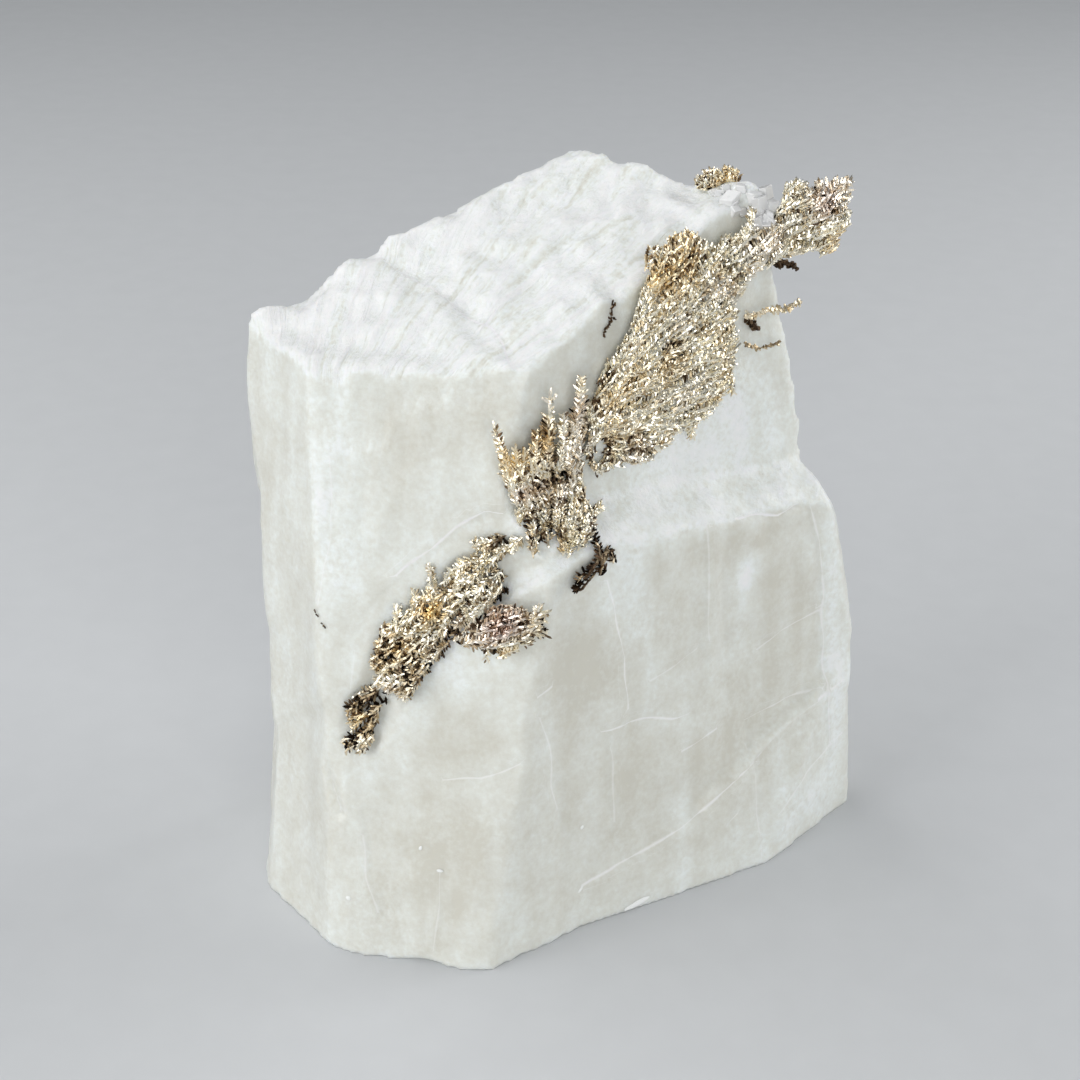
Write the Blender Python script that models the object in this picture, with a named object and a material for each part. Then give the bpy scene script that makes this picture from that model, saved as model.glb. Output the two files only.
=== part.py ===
"""A calcite cleavage block crossed by a vein of dendritic native silver.

Everything is worked out in millimetres, with +Z up and the block standing on z = 0, and is turned to
metres when an object is finished. A bearing is the compass angle that a face looks towards, counted from
+X towards +Y, so that -90 looks straight at the viewer.
"""

import math
import random

import bmesh
import bpy
from mathutils import Matrix, Vector, noise
from mathutils.bvhtree import BVHTree

MM = 0.001
CENTRING = Vector((-1.83, -0.8, 0.0))  # brings the middle of the specimen's box over the origin

# The block's flat faces: the bearing that each looks towards, how many degrees it leans back from
# upright, and how far out from the axis it stands at the base.
SIDE_FACES = {
    "front right": (-56.5, 6.0, 11.5),
    "front left": (-102.0, 14.6, 16.7),
    "left bevel": (-141.0, 9.5, 20.7),
    "left end": (178.0, 0.6, 21.1),
    "back left": (115.0, 5.0, 15.7),
    "back right": (62.0, 6.5, 18.6),
    "right end, foot": (15.0, 1.0, 24.6),
    "right end": (15.0, 12.4, 27.9),
    "right bevel": (-42.0, 2.0, 16.0),
}
TOP_BEARING, TOP_TILT, TOP_HEIGHT = -116.6, 24.5, 44.8  # the top slopes down towards the front left

# The notch: above its ledge the front right face is set back.
NOTCH_SET_BACK = 2.9
LEDGE_BEARING, LEDGE_SLOPE = -49.0, 35.0
LEDGE_EDGE = Vector((12.3, -2.5, 28.15))  # a point on the ledge's outer edge

# Hollows under the foot, each an ellipsoid: its centre, its three radii and the bearing of its long axis.
FOOT_HOLLOWS = (
    (Vector((9.6, -7.6, -3.0)), (11.5, 5.0, 3.3), 33.5),
    (Vector((-8.4, -15.9, -1.6)), (2.6, 2.0, 2.2), -9.0),
)

# Knobs and dips along the top's rim: where each is, how far it reaches and how much higher it stands.
RIM_KNOBS = (
    (Vector((-19.1, 3.4, 42.2)), 0.9, 0.4),
    (Vector((-17.0, 4.6, 43.3)), 1.3, -0.8),
    (Vector((-13.5, 7.0, 44.9)), 1.1, 0.9),
    (Vector((-12.1, 7.0, 45.5)), 0.7, -0.6),
    (Vector((-10.9, 7.3, 45.5)), 1.3, 1.0),
    (Vector((-8.8, 8.3, 46.3)), 1.2, 0.5),
    (Vector((-4.9, 9.9, 47.9)), 2.4, 0.3),
    (Vector((3.0, 12.9, 50.3)), 1.4, 0.3),
    (Vector((5.6, 11.4, 50.3)), 1.0, -0.5),
    (Vector((9.4, 9.4, 50.4)), 2.4, -0.8),
)

# A slab of stone left standing on the foot of the front right face: the bearing and lean of its own face,
# which comes out of the big one at SLAB_ROOT along it, and the point on its slanting top edge and that
# edge's slope.
SLAB_BEARING, SLAB_LEAN, SLAB_ROOT = -63.5, 10.5, -3.0
SLAB_EDGE_ALONG, SLAB_EDGE_HEIGHT, SLAB_EDGE_SLOPE = 3.0, 4.4, 26.0
SLAB_SINKS_IN = 3.0

# Small clear crystals grown on the top's right corner: centre, size and turn about the upright.
CORNER_CRYSTAL_LEAN = 25.0
CORNER_CRYSTALS = (
    (Vector((13.6, 6.6, 49.0)), 2.4, 20.0),
    (Vector((15.3, 6.2, 48.2)), 2.2, 48.0),
    (Vector((12.0, 8.2, 49.4)), 1.8, 75.0),
)

# The groove that the lower silver lies in, as points along its bed.
GROOVE = (
    Vector((-12.6, -10.4, 16.5)),
    Vector((-9.6, -9.2, 21.8)),
    Vector((-5.2, -8.6, 27.2)),
    Vector((1.6, -8.4, 30.6)),
)
GROOVE_DEPTH, GROOVE_HALF_WIDTH = 1.0, 2.2

WAIST_HEIGHT, WAIST_REACH, WAIST_DEPTH = 15.0, 14.0, 1.3  # of the hollow waist down the left end

# Cleavage steps across the faces: a point on the step's line (how far along the face from the foot of the
# upright through its middle, and how high), the line's slope in degrees, and how far the side below or
# right of it drops back.
CLEAVAGE_STEPS = {
    "front right": (
        (6.1, 17.0, 19.0, 0.15),
        (9.1, 0.0, 89.0, 0.2),
        (-5.5, 0.0, 89.0, 0.15),
    ),
    "back left": ((2.0, 14.0, -24.0, 0.7), (-5.0, 0.0, 88.0, 0.5)),
    "back right": ((0.0, 27.0, 27.0, 0.6), (3.5, 0.0, 86.0, 0.45)),
    "left bevel": ((0.0, 20.0, 35.0, 0.3),),
}

BLOCK_VOXEL, BLOCK_TRIANGLES = 0.6, 5200
SILVER_VOXEL = 0.25
SILVER_GAP = 0.4  # kept between silver and calcite, before rounding takes some of it away
FORK_GAP = 0.36  # kept between two growths where the silver forks
GRAIN_RADIUS, GRAIN_PITCH = 0.54, 0.42
CRYSTAL_LENGTH, CRYSTAL_RADIUS = 1.2, 0.38
CRYSTAL_TWIST = 38.0  # degrees to either side of its rib
LAYER = 0.7  # between the layers of a thick growth
WALL_FOOT = 3.0  # how far up and left of the outline's origin a wall starts to rise
FARTHEST_STONE = 20.0  # how far in front of a clinging growth's flat face the stone is looked for

TWIG_PITCH, TWIG_GRAIN, TWIG_TRIANGLES = 0.25, 0.55, 110
BUD_LENGTH, BUD_RADIUS, BUD_TURN = 0.7, 0.4, 50.0

# Each silver growth, in millimetres: the face that it lies along (bearing, lean); the point that its
# outline is measured from; the point that its ribs spread from; whether it clings to the stone or stands
# free on its own flat face; how far its tips lift; how steeply its lower right side rises off the stone,
# as a wall; its triangles; and its outline, as measures to the right and up its face.
SILVER_GROWTHS = {
    "silver_leaf": dict(
        face=(-56.5, 6.0), origin=(4.0, -4.2, 37.5), root=(-4.5, -4.0), clings=False,
        lift=0.3, wall=0.0, triangles=1200,
        outline=(
            (0.1, 2.1), (2.5, 5.1), (3.5, 7.0), (4.2, 8.6), (4.1, 10.9), (5.9, 10.5), (6.6, 11.5),
            (8.1, 11.3), (9.1, 10.2), (8.8, 8.6), (10.4, 6.9), (11.4, 4.2), (11.5, 2.8), (11.3, 1.2),
            (10.6, -0.3), (9.2, -1.3), (7.6, -2.6), (6.1, -2.9), (5.3, -3.9), (3.4, -4.2), (-0.9, -4.1),
            (-0.8, -2.7), (0.6, -1.4), (0.1, 0.4),
        ),
    ),
    "silver_crest": dict(
        face=(-56.5, 6.0), origin=(13.6, 3.1, 45.7), root=(-9.0, -5.5), clings=False,
        lift=0.5, wall=0.0, triangles=900,
        outline=(
            (-3.3, 0.6), (-2.3, 2.0), (-0.8, 2.1), (1.6, 2.0), (3.0, 2.3), (3.7, 3.3), (4.2, 4.2),
            (5.0, 4.7), (5.7, 4.0), (6.5, 4.4), (7.3, 3.7), (8.2, 3.9), (9.3, 3.4), (9.1, 2.8),
            (8.4, 2.4), (8.9, 1.6), (8.6, 0.9), (7.7, 0.6), (8.2, -0.2), (7.4, -0.5), (6.3, 0.0),
            (5.9, -0.8), (4.6, -1.2), (2.9, -0.6), (1.6, -0.7), (0.6, -1.8), (-1.4, -2.6), (-2.4, -1.0),
        ),
    ),
    "silver_fan": dict(
        face=(-88.0, 8.0), origin=(0.7, -6.9, 31.3), root=(-0.3, -7.0), clings=True,
        lift=0.9, wall=0.0, triangles=900,
        outline=(
            (-3.8, 7.5), (-2.9, 4.9), (-2.3, 6.2), (-1.7, 5.2), (-1.0, 7.0), (-0.3, 7.4), (0.0, 9.5),
            (0.4, 6.0), (0.9, 7.5), (1.4, 7.0), (2.0, 9.8), (2.6, 8.6), (2.4, 6.8), (2.1, 4.8),
            (2.2, 2.9), (2.4, 0.8), (3.5, 0.2), (2.9, -0.9), (2.2, -1.9), (0.7, -2.1), (-0.3, -1.2),
            (-1.3, -1.5), (-1.9, -0.2), (-2.6, 2.0), (-3.4, 4.6),
        ),
    ),
    "silver_mat": dict(
        face=(-100.0, 14.0), origin=(-6.1, -9.4, 25.8), root=(7.5, 9.0), clings=True,
        lift=0.3, wall=0.3, triangles=950,
        outline=(
            (4.4, 5.1), (3.0, 5.6), (1.4, 5.2), (1.6, 4.2), (0.4, 3.6), (-0.6, 2.0), (-1.6, 3.0),
            (-1.5, 1.4), (-2.8, 1.1), (-3.6, -0.4), (-5.0, -2.5), (-5.4, -4.1), (-5.2, -5.7),
            (-3.9, -6.5), (-2.3, -6.8), (-1.7, -4.9), (-0.4, -3.6), (0.6, -2.1), (1.6, -1.0), (2.6, 0.2),
            (4.0, 1.4), (3.8, 3.0), (4.4, 4.2),
        ),
    ),
    "silver_wing": dict(
        face=(-80.0, 4.0), origin=(-5.0, -12.3, 25.2), root=(-4.0, -0.6), clings=False,
        lift=0.2, wall=0.0, triangles=420,
        outline=(
            (0.6, 0.2), (1.4, 1.8), (2.6, 2.3), (4.4, 1.6), (5.1, 2.4), (5.9, 1.5), (5.0, 0.8),
            (5.7, -0.1), (4.6, -0.8), (2.5, -1.6), (0.9, -1.2),
        ),
    ),
    "silver_tail": dict(
        face=(-104.0, 14.0), origin=(-12.1, -10.3, 17.5), root=(4.0, 7.0), clings=True,
        lift=0.1, wall=0.0, triangles=340,
        outline=(
            (-0.6, 1.7), (-1.4, 0.6), (-1.2, -0.8), (-1.6, -1.8), (-1.2, -3.1), (-0.3, -2.7), (0.6, -2.0),
            (0.9, -0.4), (1.0, 0.7), (0.4, 1.6),
        ),
    ),
    "silver_dark_leaf": dict(
        face=(-70.0, 8.0), origin=(4.1, -6.0, 28.1), root=(3.0, 2.0), clings=True,
        lift=0.3, wall=0.0, triangles=160,
        outline=((-2.5, -1.1), (-1.9, -1.7), (-0.4, -0.9), (0.6, -0.9), (1.1, 0.1), (0.3, 0.5), (-1.3, 0.1)),
    ),
    "silver_tuft": dict(
        face=(-56.5, 6.0), origin=(12.6, 9.3, 48.7), root=(1.2, -3.0), clings=False,
        lift=0.0, wall=0.0, triangles=160,
        outline=((-1.6, -0.6), (-1.5, 0.9), (-0.5, 1.4), (0.7, 1.2), (1.8, 0.8), (1.2, -0.8)),
    ),
}

# Thin twigs of silver beside the growths: the points that each follows and its thickness at the root.
SILVER_TWIGS = {
    "silver_twig_middle": (((14.3, 3.2, 41.9), (15.7, 4.1, 41.9), (16.9, 4.9, 41.7), (18.3, 5.9, 41.9)), 0.9),
    "silver_twig_lower": (((14.3, 3.0, 39.7), (15.3, 3.6, 39.2), (16.9, 4.5, 39.2)), 0.8),
}


def smooth(low, high, x):
    """0 below low, 1 above high, and an S-shaped rise between them."""
    t = min(1.0, max(0.0, (x - low) / (high - low)))
    return t * t * (3.0 - 2.0 * t)


def facing(bearing, lean):
    """The outward direction of a face with that bearing that leans back by that many degrees."""
    b, l = math.radians(bearing), math.radians(lean)
    return Vector((math.cos(b) * math.cos(l), math.sin(b) * math.cos(l), math.sin(l)))


def along(bearing):
    """The level direction that runs to the right across a face, seen from in front of it."""
    b = math.radians(bearing)
    return Vector((-math.sin(b), math.cos(b), 0.0))


def side_plane(bearing, lean, reach):
    b = math.radians(bearing)
    return Vector((math.cos(b), math.sin(b), 0.0)) * reach, facing(bearing, lean)


def top_plane():
    return Vector((0.0, 0.0, TOP_HEIGHT)), facing(TOP_BEARING, 90.0 - TOP_TILT)


def cleave(planes, half_size=60.0):
    """A block cut from a cube: each plane (point, outward direction) takes away what lies outside it."""
    bm = bmesh.new()
    bmesh.ops.create_cube(bm, size=2.0 * half_size)
    for point, outward in planes:
        everything = bm.verts[:] + bm.edges[:] + bm.faces[:]
        cut = bmesh.ops.bisect_plane(bm, geom=everything, plane_co=point, plane_no=outward, clear_outer=True)
        rim = [e for e in cut["geom_cut"] if isinstance(e, bmesh.types.BMEdge)]
        bmesh.ops.edgeloop_fill(bm, edges=rim)
    bmesh.ops.recalc_face_normals(bm, faces=bm.faces[:])
    return bm


def new_object(name, bm, helper=False):
    mesh = bpy.data.meshes.new(name)
    bm.to_mesh(mesh)
    bm.free()
    obj = bpy.data.objects.new(name, mesh)
    bpy.context.scene.collection.objects.link(obj)
    if helper:
        obj.hide_render = True
        obj.display_type = "WIRE"
    return obj


def apply_modifiers(obj):
    """Replaces the object's mesh with what its modifiers make of it."""
    graph = bpy.context.evaluated_depsgraph_get()
    shaped = bpy.data.meshes.new_from_object(obj.evaluated_get(graph))
    obj.modifiers.clear()
    obj.data = shaped


def cut_away(obj, cutters):
    for cutter in cutters:
        modifier = obj.modifiers.new("cut " + cutter.name, "BOOLEAN")
        modifier.operation = "DIFFERENCE"
        modifier.object = cutter
    apply_modifiers(obj)
    for cutter in cutters:
        bpy.data.objects.remove(cutter)


def remesh(obj, voxel, rounds_of_smoothing=0):
    modifier = obj.modifiers.new("even mesh", "REMESH")
    modifier.mode = "VOXEL"
    modifier.voxel_size = voxel
    if rounds_of_smoothing:
        modifier = obj.modifiers.new("smoothing", "SMOOTH")
        modifier.iterations = rounds_of_smoothing
    apply_modifiers(obj)


def thin_out(obj, triangles):
    """Collapses edges, flattest first, until about that many triangles are left."""
    obj.data.calc_loop_triangles()
    modifier = obj.modifiers.new("facets", "DECIMATE")
    modifier.ratio = triangles / len(obj.data.loop_triangles)
    apply_modifiers(obj)


def surface_of(obj):
    """The object's surface, to measure distances to."""
    return BVHTree.FromPolygons([v.co for v in obj.data.vertices], [p.vertices for p in obj.data.polygons])


def keep_largest_piece(obj):
    bm = bmesh.new()
    bm.from_mesh(obj.data)
    left, pieces = set(bm.verts), []
    while left:
        piece, edge = set(), [left.pop()]
        while edge:
            v = edge.pop()
            piece.add(v)
            near = [e.other_vert(v) for e in v.link_edges]
            edge.extend(n for n in near if n in left)
            left.difference_update(near)
        pieces.append(piece)
    largest = max(pieces, key=len)
    bmesh.ops.delete(bm, geom=[v for v in bm.verts if v not in largest], context="VERTS")
    bm.to_mesh(obj.data)
    bm.free()


def notch_cutter():
    bearing, lean, reach = SIDE_FACES["front right"]
    inner_point, inner_out = side_plane(bearing, lean, reach - NOTCH_SET_BACK)
    ledge_up = facing(LEDGE_BEARING, 90.0 - LEDGE_SLOPE)
    return new_object("notch", cleave([(inner_point, -inner_out), (LEDGE_EDGE, -ledge_up)]), helper=True)


def foot_slab():
    """The slab on the foot of the front right face, with its inner part sunk in the block."""
    big_bearing, big_lean, reach = SIDE_FACES["front right"]
    across, slope = along(big_bearing), math.radians(SLAB_EDGE_SLOPE)
    big_out, level_out = facing(big_bearing, big_lean), facing(big_bearing, 0.0)
    root = level_out * reach + across * SLAB_ROOT
    edge = level_out * reach + across * SLAB_EDGE_ALONG + Vector((0.0, 0.0, SLAB_EDGE_HEIGHT))
    edge_up = Vector((0.0, 0.0, math.cos(slope))) - across * math.sin(slope) + 0.3 * big_out
    return cleave([
        (root, facing(SLAB_BEARING, SLAB_LEAN)),
        (edge, edge_up.normalized()),
        (root - level_out * SLAB_SINKS_IN, -level_out),
        (root, -across),
        side_plane(*SIDE_FACES["right bevel"]),
        side_plane(*SIDE_FACES["right end, foot"]),
        (Vector((0.0, 0.0, -1.0)), Vector((0.0, 0.0, -1.0))),
    ])


def hollow_cutter(centre, radii, bearing):
    bm = bmesh.new()
    shape = (
        Matrix.Translation(centre)
        @ Matrix.Rotation(math.radians(bearing), 4, "Z")
        @ Matrix.Diagonal((*radii, 1.0))
    )
    bmesh.ops.create_icosphere(bm, subdivisions=4, radius=1.0, matrix=shape)
    return new_object("hollow", bm, helper=True)


def add_corner_crystals(bm):
    for centre, size, turn in CORNER_CRYSTALS:
        place = Matrix.Translation(centre) @ Matrix.Rotation(math.radians(turn), 4, "Z")
        lean = Matrix.Rotation(math.radians(CORNER_CRYSTAL_LEAN), 4, "X")
        bmesh.ops.create_cube(bm, size=size, matrix=place @ lean)


def top_relief(p):
    """The rough top: lumps, and a step where the left part stands above the right."""
    lumps = 0.55 * noise.noise(p * 0.22) + 0.35 * noise.noise(p * 0.55)
    step_line = p.x + 0.78 * p.y + 6.4
    step = 0.45 * (1.0 - smooth(-0.6, 0.6, step_line)) - 0.45 * math.exp(-max(0.0, step_line) / 4.0)
    return lumps + step


def cleavage_relief(p):
    """Steps across the faces, where the stone split along its planes, as a move of the surface."""
    move = Vector((0.0, 0.0, 0.0))
    for name, steps in CLEAVAGE_STEPS.items():
        point, out = side_plane(*SIDE_FACES[name])
        on_face = smooth(-1.2, -0.4, (p - point).dot(out))
        across = (p - point).dot(along(SIDE_FACES[name][0]))
        for start, height, slope, step in steps:
            s = math.radians(slope)
            beyond = (across - start) * math.sin(s) - (p.z - height) * math.cos(s)
            move -= out * (on_face * step * smooth(-0.3, 0.3, beyond))
    return move


def groove_relief(p):
    nearest = min(distance_to_line(p, a, b) for a, b in zip(GROOVE, GROOVE[1:]))
    return -GROOVE_DEPTH * (1.0 - smooth(0.4, GROOVE_HALF_WIDTH, nearest))


def distance_to_line(p, a, b):
    t = min(1.0, max(0.0, (p - a).dot(b - a) / (b - a).length_squared))
    return (p - a - (b - a) * t).length


def block_relief(p, normal):
    """How far the block's surface at p stands out from its flat faces, along its normal."""
    top_point, top_out = top_plane()
    on_top = smooth(0.55, 0.9, normal.dot(top_out)) * smooth(-6.0, -2.0, (p - top_point).dot(top_out))
    relief = 0.25 * noise.noise(p * 0.11) + 0.12 * noise.noise(p * 0.35)
    relief += on_top * top_relief(p)
    relief += groove_relief(p)
    return relief


def rim_relief(p):
    """The knobs and dips along the top's rim, as a move upwards."""
    height = sum(knob * math.exp(-((p - centre).length / reach) ** 2) for centre, reach, knob in RIM_KNOBS)
    return Vector((0.0, 0.0, height))


def left_waist(p):
    """The left end is drawn in a little below its middle."""
    height = (p.z - WAIST_HEIGHT) / WAIST_REACH
    return Vector((WAIST_DEPTH * math.exp(-(height**2)) * smooth(14.0, 19.0, -p.x), 0.0, 0.0))


def roughen_block(mesh):
    for v in mesh.vertices:
        p = v.co.copy()
        raised = p + v.normal * block_relief(p, v.normal)
        v.co = raised + rim_relief(p) + cleavage_relief(p) + left_waist(p)
    mesh.update()


def cut_foot_flat(obj):
    """Cuts the block off on z = 0, so that it stands on true flats."""
    bm = bmesh.new()
    bm.from_mesh(obj.data)
    everything = bm.verts[:] + bm.edges[:] + bm.faces[:]
    cut = bmesh.ops.bisect_plane(
        bm, geom=everything, plane_co=(0.0, 0.0, 0.0), plane_no=(0.0, 0.0, -1.0), clear_outer=True
    )
    rim = [e for e in cut["geom_cut"] if isinstance(e, bmesh.types.BMEdge)]
    bmesh.ops.edgenet_fill(bm, edges=rim)
    bmesh.ops.triangulate(bm, faces=bm.faces[:])
    bmesh.ops.recalc_face_normals(bm, faces=bm.faces[:])
    bm.to_mesh(obj.data)
    bm.free()


def make_block():
    below_foot = (Vector((0.0, 0.0, -2.0)), Vector((0.0, 0.0, -1.0)))
    planes = [side_plane(*f) for f in SIDE_FACES.values()] + [top_plane(), below_foot]
    block = new_object("calcite_block", cleave(planes))
    cut_away(block, [notch_cutter()] + [hollow_cutter(*h) for h in FOOT_HOLLOWS])
    slab = new_object("slab", foot_slab())
    bm = bmesh.new()
    bm.from_mesh(block.data)
    bm.from_mesh(slab.data)
    add_corner_crystals(bm)
    bm.to_mesh(block.data)
    bm.free()
    bpy.data.objects.remove(slab)
    remesh(block, BLOCK_VOXEL, rounds_of_smoothing=2)
    roughen_block(block.data)
    thin_out(block, BLOCK_TRIANGLES)
    cut_foot_flat(block)
    return block


def inside(outline, a, b):
    """Whether the point (a, b) lies inside the outline."""
    odd = False
    for (a0, b0), (a1, b1) in zip(outline, outline[1:] + outline[:1]):
        if (b0 > b) != (b1 > b) and a < a0 + (b - b0) / (b1 - b0) * (a1 - a0):
            odd = not odd
    return odd


def add_grain(bm, centre, point_along, flat_out, length, width, thickness):
    """One silver crystal: a long octahedron that points along one way and lies flat to the other."""
    x = point_along.normalized()
    z = (flat_out - x * flat_out.dot(x)).normalized()
    y = z.cross(x)
    corners = [x * length, -x * length, y * width, -y * width, z * thickness, -z * thickness]
    v = [bm.verts.new(centre + c) for c in corners]
    for i, j, k in ((0, 2, 4), (2, 1, 4), (1, 3, 4), (3, 0, 4), (2, 0, 5), (1, 2, 5), (3, 1, 5), (0, 3, 5)):
        bm.faces.new((v[i], v[j], v[k]))


def add_crystal(bm, rng, centre, outward, facing_out, stone):
    """A pointed crystal that stands on the plate, turned to one side of its rib and a little up."""
    twist = math.radians(rng.choice((-CRYSTAL_TWIST, CRYSTAL_TWIST)) + rng.uniform(-10.0, 10.0))
    heading = Matrix.Rotation(twist, 3, facing_out) @ outward.normalized()
    heading = (heading + facing_out * rng.uniform(0.1, 0.5)).normalized()
    foot = centre + facing_out * rng.uniform(0.2, 0.45)
    length = CRYSTAL_LENGTH * rng.uniform(0.7, 1.1)
    tips = (foot + heading * length, foot - heading * length)
    if all(stone.find_nearest(tip)[3] > 2.0 * SILVER_GAP for tip in tips):
        add_grain(bm, foot, heading, facing_out, length, CRYSTAL_RADIUS, CRYSTAL_RADIUS)


class Carrier:
    """The face that a growth lies along: it turns outline measures into places on or above the stone."""

    def __init__(self, growth, stone):
        self.out = facing(*growth["face"])
        self.right = along(growth["face"][0])
        self.up = self.out.cross(self.right)
        self.origin = Vector(growth["origin"])
        self.clings = growth["clings"]
        self.stone = stone

    def place(self, a, b, height):
        """The place of (a, b) on the growth: on the stone where it clings, and else on its own flat face."""
        lowest = SILVER_GAP + GRAIN_RADIUS
        p = self.origin + self.right * a + self.up * b
        if self.clings:
            hit, *_ = self.stone.ray_cast(p + self.out * FARTHEST_STONE, -self.out)
            p = (hit or p) + self.out * lowest
        return self.clear_of_stone(p + self.out * height, lowest)

    def clear_of_stone(self, p, lowest):
        """Moves p away from the nearest stone until it is far enough off."""
        near, normal, _, distance = self.stone.find_nearest(p)
        if (p - near).dot(normal) < 0.0:
            return near + normal * lowest
        if distance < lowest:
            return near + (p - near).normalized() * lowest
        return p


def too_near(centre, size, neighbours):
    """Whether a grain there would touch a neighbouring growth, or come closer than the gap at a fork."""
    return any(neighbour.find_nearest(centre)[3] < size + FORK_GAP for neighbour in neighbours)


def lattice(outline):
    """The places inside an outline that carry a grain, and whether each carries a crystal as well."""
    lowest_a, highest_a = min(a for a, _ in outline), max(a for a, _ in outline)
    lowest_b, highest_b = min(b for _, b in outline), max(b for _, b in outline)
    for row in range(int((highest_b - lowest_b) / GRAIN_PITCH) + 1):
        for column in range(int((highest_a - lowest_a) / GRAIN_PITCH) + 1):
            a = lowest_a + (column + 0.5 * (row % 2)) * GRAIN_PITCH
            b = lowest_b + row * GRAIN_PITCH
            if inside(outline, a, b):
                yield a, b, row % 2 == 0 and column % 2 == 0


def add_plate_grain(bm, centre, outward, carrier, layers):
    """A grain of the plate, with more of them below it where the growth is thick."""
    for layer in range(layers):
        below = centre - carrier.out * (layer * LAYER)
        add_grain(bm, below, outward, carrier.out, GRAIN_RADIUS, GRAIN_RADIUS, GRAIN_RADIUS)


def grow_silver(name, growth, stone, neighbours):
    """A growth of silver: a plate of overlapping grains, with ribs of pointed crystals standing on it."""
    rng = random.Random(name)
    carrier = Carrier(growth, stone)
    outline, root = growth["outline"], growth["root"]
    reach = max(math.dist(root, point) for point in outline)
    bm = bmesh.new()
    for a, b, carries_crystal in lattice(outline):
        lift = growth["lift"] * (math.dist(root, (a, b)) / reach) ** 2
        lift += max(0.0, growth["wall"] * (a - b + WALL_FOOT))
        outward = carrier.right * (a - root[0]) + carrier.up * (b - root[1])
        centre = carrier.place(a, b, lift)
        if too_near(centre, GRAIN_RADIUS, neighbours):
            continue
        add_plate_grain(bm, centre, outward, carrier, max(1, round(lift / LAYER)) if carrier.clings else 1)
        if carries_crystal and not too_near(centre, CRYSTAL_LENGTH, neighbours):
            add_crystal(bm, rng, centre, outward, carrier.out, stone)
            if stone.find_nearest(centre)[3] > 2.0 * CRYSTAL_LENGTH:
                add_crystal(bm, rng, centre, outward, -carrier.out, stone)
    return weld(new_object(name, bm), growth["triangles"])


def weld(silver, triangles):
    """Joins overlapping grains of silver to one faceted skin."""
    remesh(silver, SILVER_VOXEL)
    keep_largest_piece(silver)
    thin_out(silver, triangles)
    return silver


def grow_twig(name, points, thickness, neighbours):
    """A thin twig of silver: grains strung along its points, with a bud at the tip."""
    bm = bmesh.new()
    route = [Vector(p) for p in points]
    rng = random.Random(name)
    level = Vector((0.0, -1.0, 0.0))
    for start, end in zip(route, route[1:]):
        steps = max(2, round((end - start).length / TWIG_PITCH))
        for i in range(steps + 1):
            centre = start.lerp(end, i / steps)
            size = 0.5 * thickness * rng.uniform(0.75, 1.1)
            if not too_near(centre, TWIG_GRAIN, neighbours):
                add_grain(bm, centre, end - start, level, TWIG_GRAIN, size, size)
    for turn in (-BUD_TURN, BUD_TURN):
        side = Matrix.Rotation(math.radians(turn), 3, "Y") @ (route[-1] - route[-2]).normalized()
        add_grain(bm, route[-1] + side * (0.5 * TWIG_GRAIN), side, level, BUD_LENGTH, BUD_RADIUS, BUD_RADIUS)
    return weld(new_object(name, bm), TWIG_TRIANGLES)


def calcite_material():
    material = bpy.data.materials.new("milky calcite")
    material.use_nodes = True
    shader = material.node_tree.nodes["Principled BSDF"]
    shader.inputs["Base Color"].default_value = (0.80, 0.80, 0.77, 1.0)
    shader.inputs["Roughness"].default_value = 0.45
    shader.inputs["Metallic"].default_value = 0.0
    shader.inputs["IOR"].default_value = 1.58
    return material


def silver_material():
    material = bpy.data.materials.new("tarnished native silver")
    material.use_nodes = True
    shader = material.node_tree.nodes["Principled BSDF"]
    shader.inputs["Base Color"].default_value = (0.62, 0.52, 0.38, 1.0)
    shader.inputs["Roughness"].default_value = 0.35
    shader.inputs["Metallic"].default_value = 1.0
    return material


def finish(obj, material):
    """Brings a piece from millimetres to metres, over the origin, and gives it its material."""
    obj.data.transform(Matrix.Scale(MM, 4) @ Matrix.Translation(CENTRING))
    obj.data.materials.clear()
    obj.data.materials.append(material)
    for polygon in obj.data.polygons:
        polygon.use_smooth = False


def main():
    for obj in list(bpy.data.objects):
        bpy.data.objects.remove(obj)
    block = make_block()
    stone = surface_of(block)
    silver, surfaces = [], []
    for name, growth in SILVER_GROWTHS.items():
        silver.append(grow_silver(name, growth, stone, surfaces))
        surfaces.append(surface_of(silver[-1]))
    for name, (points, thickness) in SILVER_TWIGS.items():
        silver.append(grow_twig(name, points, thickness, surfaces))
    finish(block, calcite_material())
    tarnished = silver_material()
    for piece in silver:
        finish(piece, tarnished)


main()
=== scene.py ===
import math
import random

import bmesh
import bpy
import numpy as np
from mathutils import Matrix, Vector, noise
from mathutils.bvhtree import BVHTree


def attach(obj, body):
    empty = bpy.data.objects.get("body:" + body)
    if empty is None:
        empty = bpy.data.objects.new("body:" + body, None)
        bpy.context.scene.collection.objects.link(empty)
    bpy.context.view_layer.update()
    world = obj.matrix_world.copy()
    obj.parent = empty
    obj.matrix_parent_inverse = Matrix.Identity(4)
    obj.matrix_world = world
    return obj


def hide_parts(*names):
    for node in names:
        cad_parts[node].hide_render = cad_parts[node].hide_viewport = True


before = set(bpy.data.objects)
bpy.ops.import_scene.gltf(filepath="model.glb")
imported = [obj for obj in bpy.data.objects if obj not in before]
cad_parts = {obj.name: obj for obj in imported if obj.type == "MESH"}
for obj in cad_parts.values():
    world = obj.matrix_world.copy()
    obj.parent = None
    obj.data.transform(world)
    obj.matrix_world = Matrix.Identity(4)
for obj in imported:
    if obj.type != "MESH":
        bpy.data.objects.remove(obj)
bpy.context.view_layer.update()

# A calcite cleavage block crossed by a vein of dendritic native silver. Shapes are worked out in millimetres
# in the block's own frame, with +Z up and the foot on z = 0, and CENTRING brings that frame over the packed
# model's. A bearing is the compass angle that a face looks towards, counted from +X towards +Y, and a lean
# is how many degrees the face leans back from upright.
MM = 0.001
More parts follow.
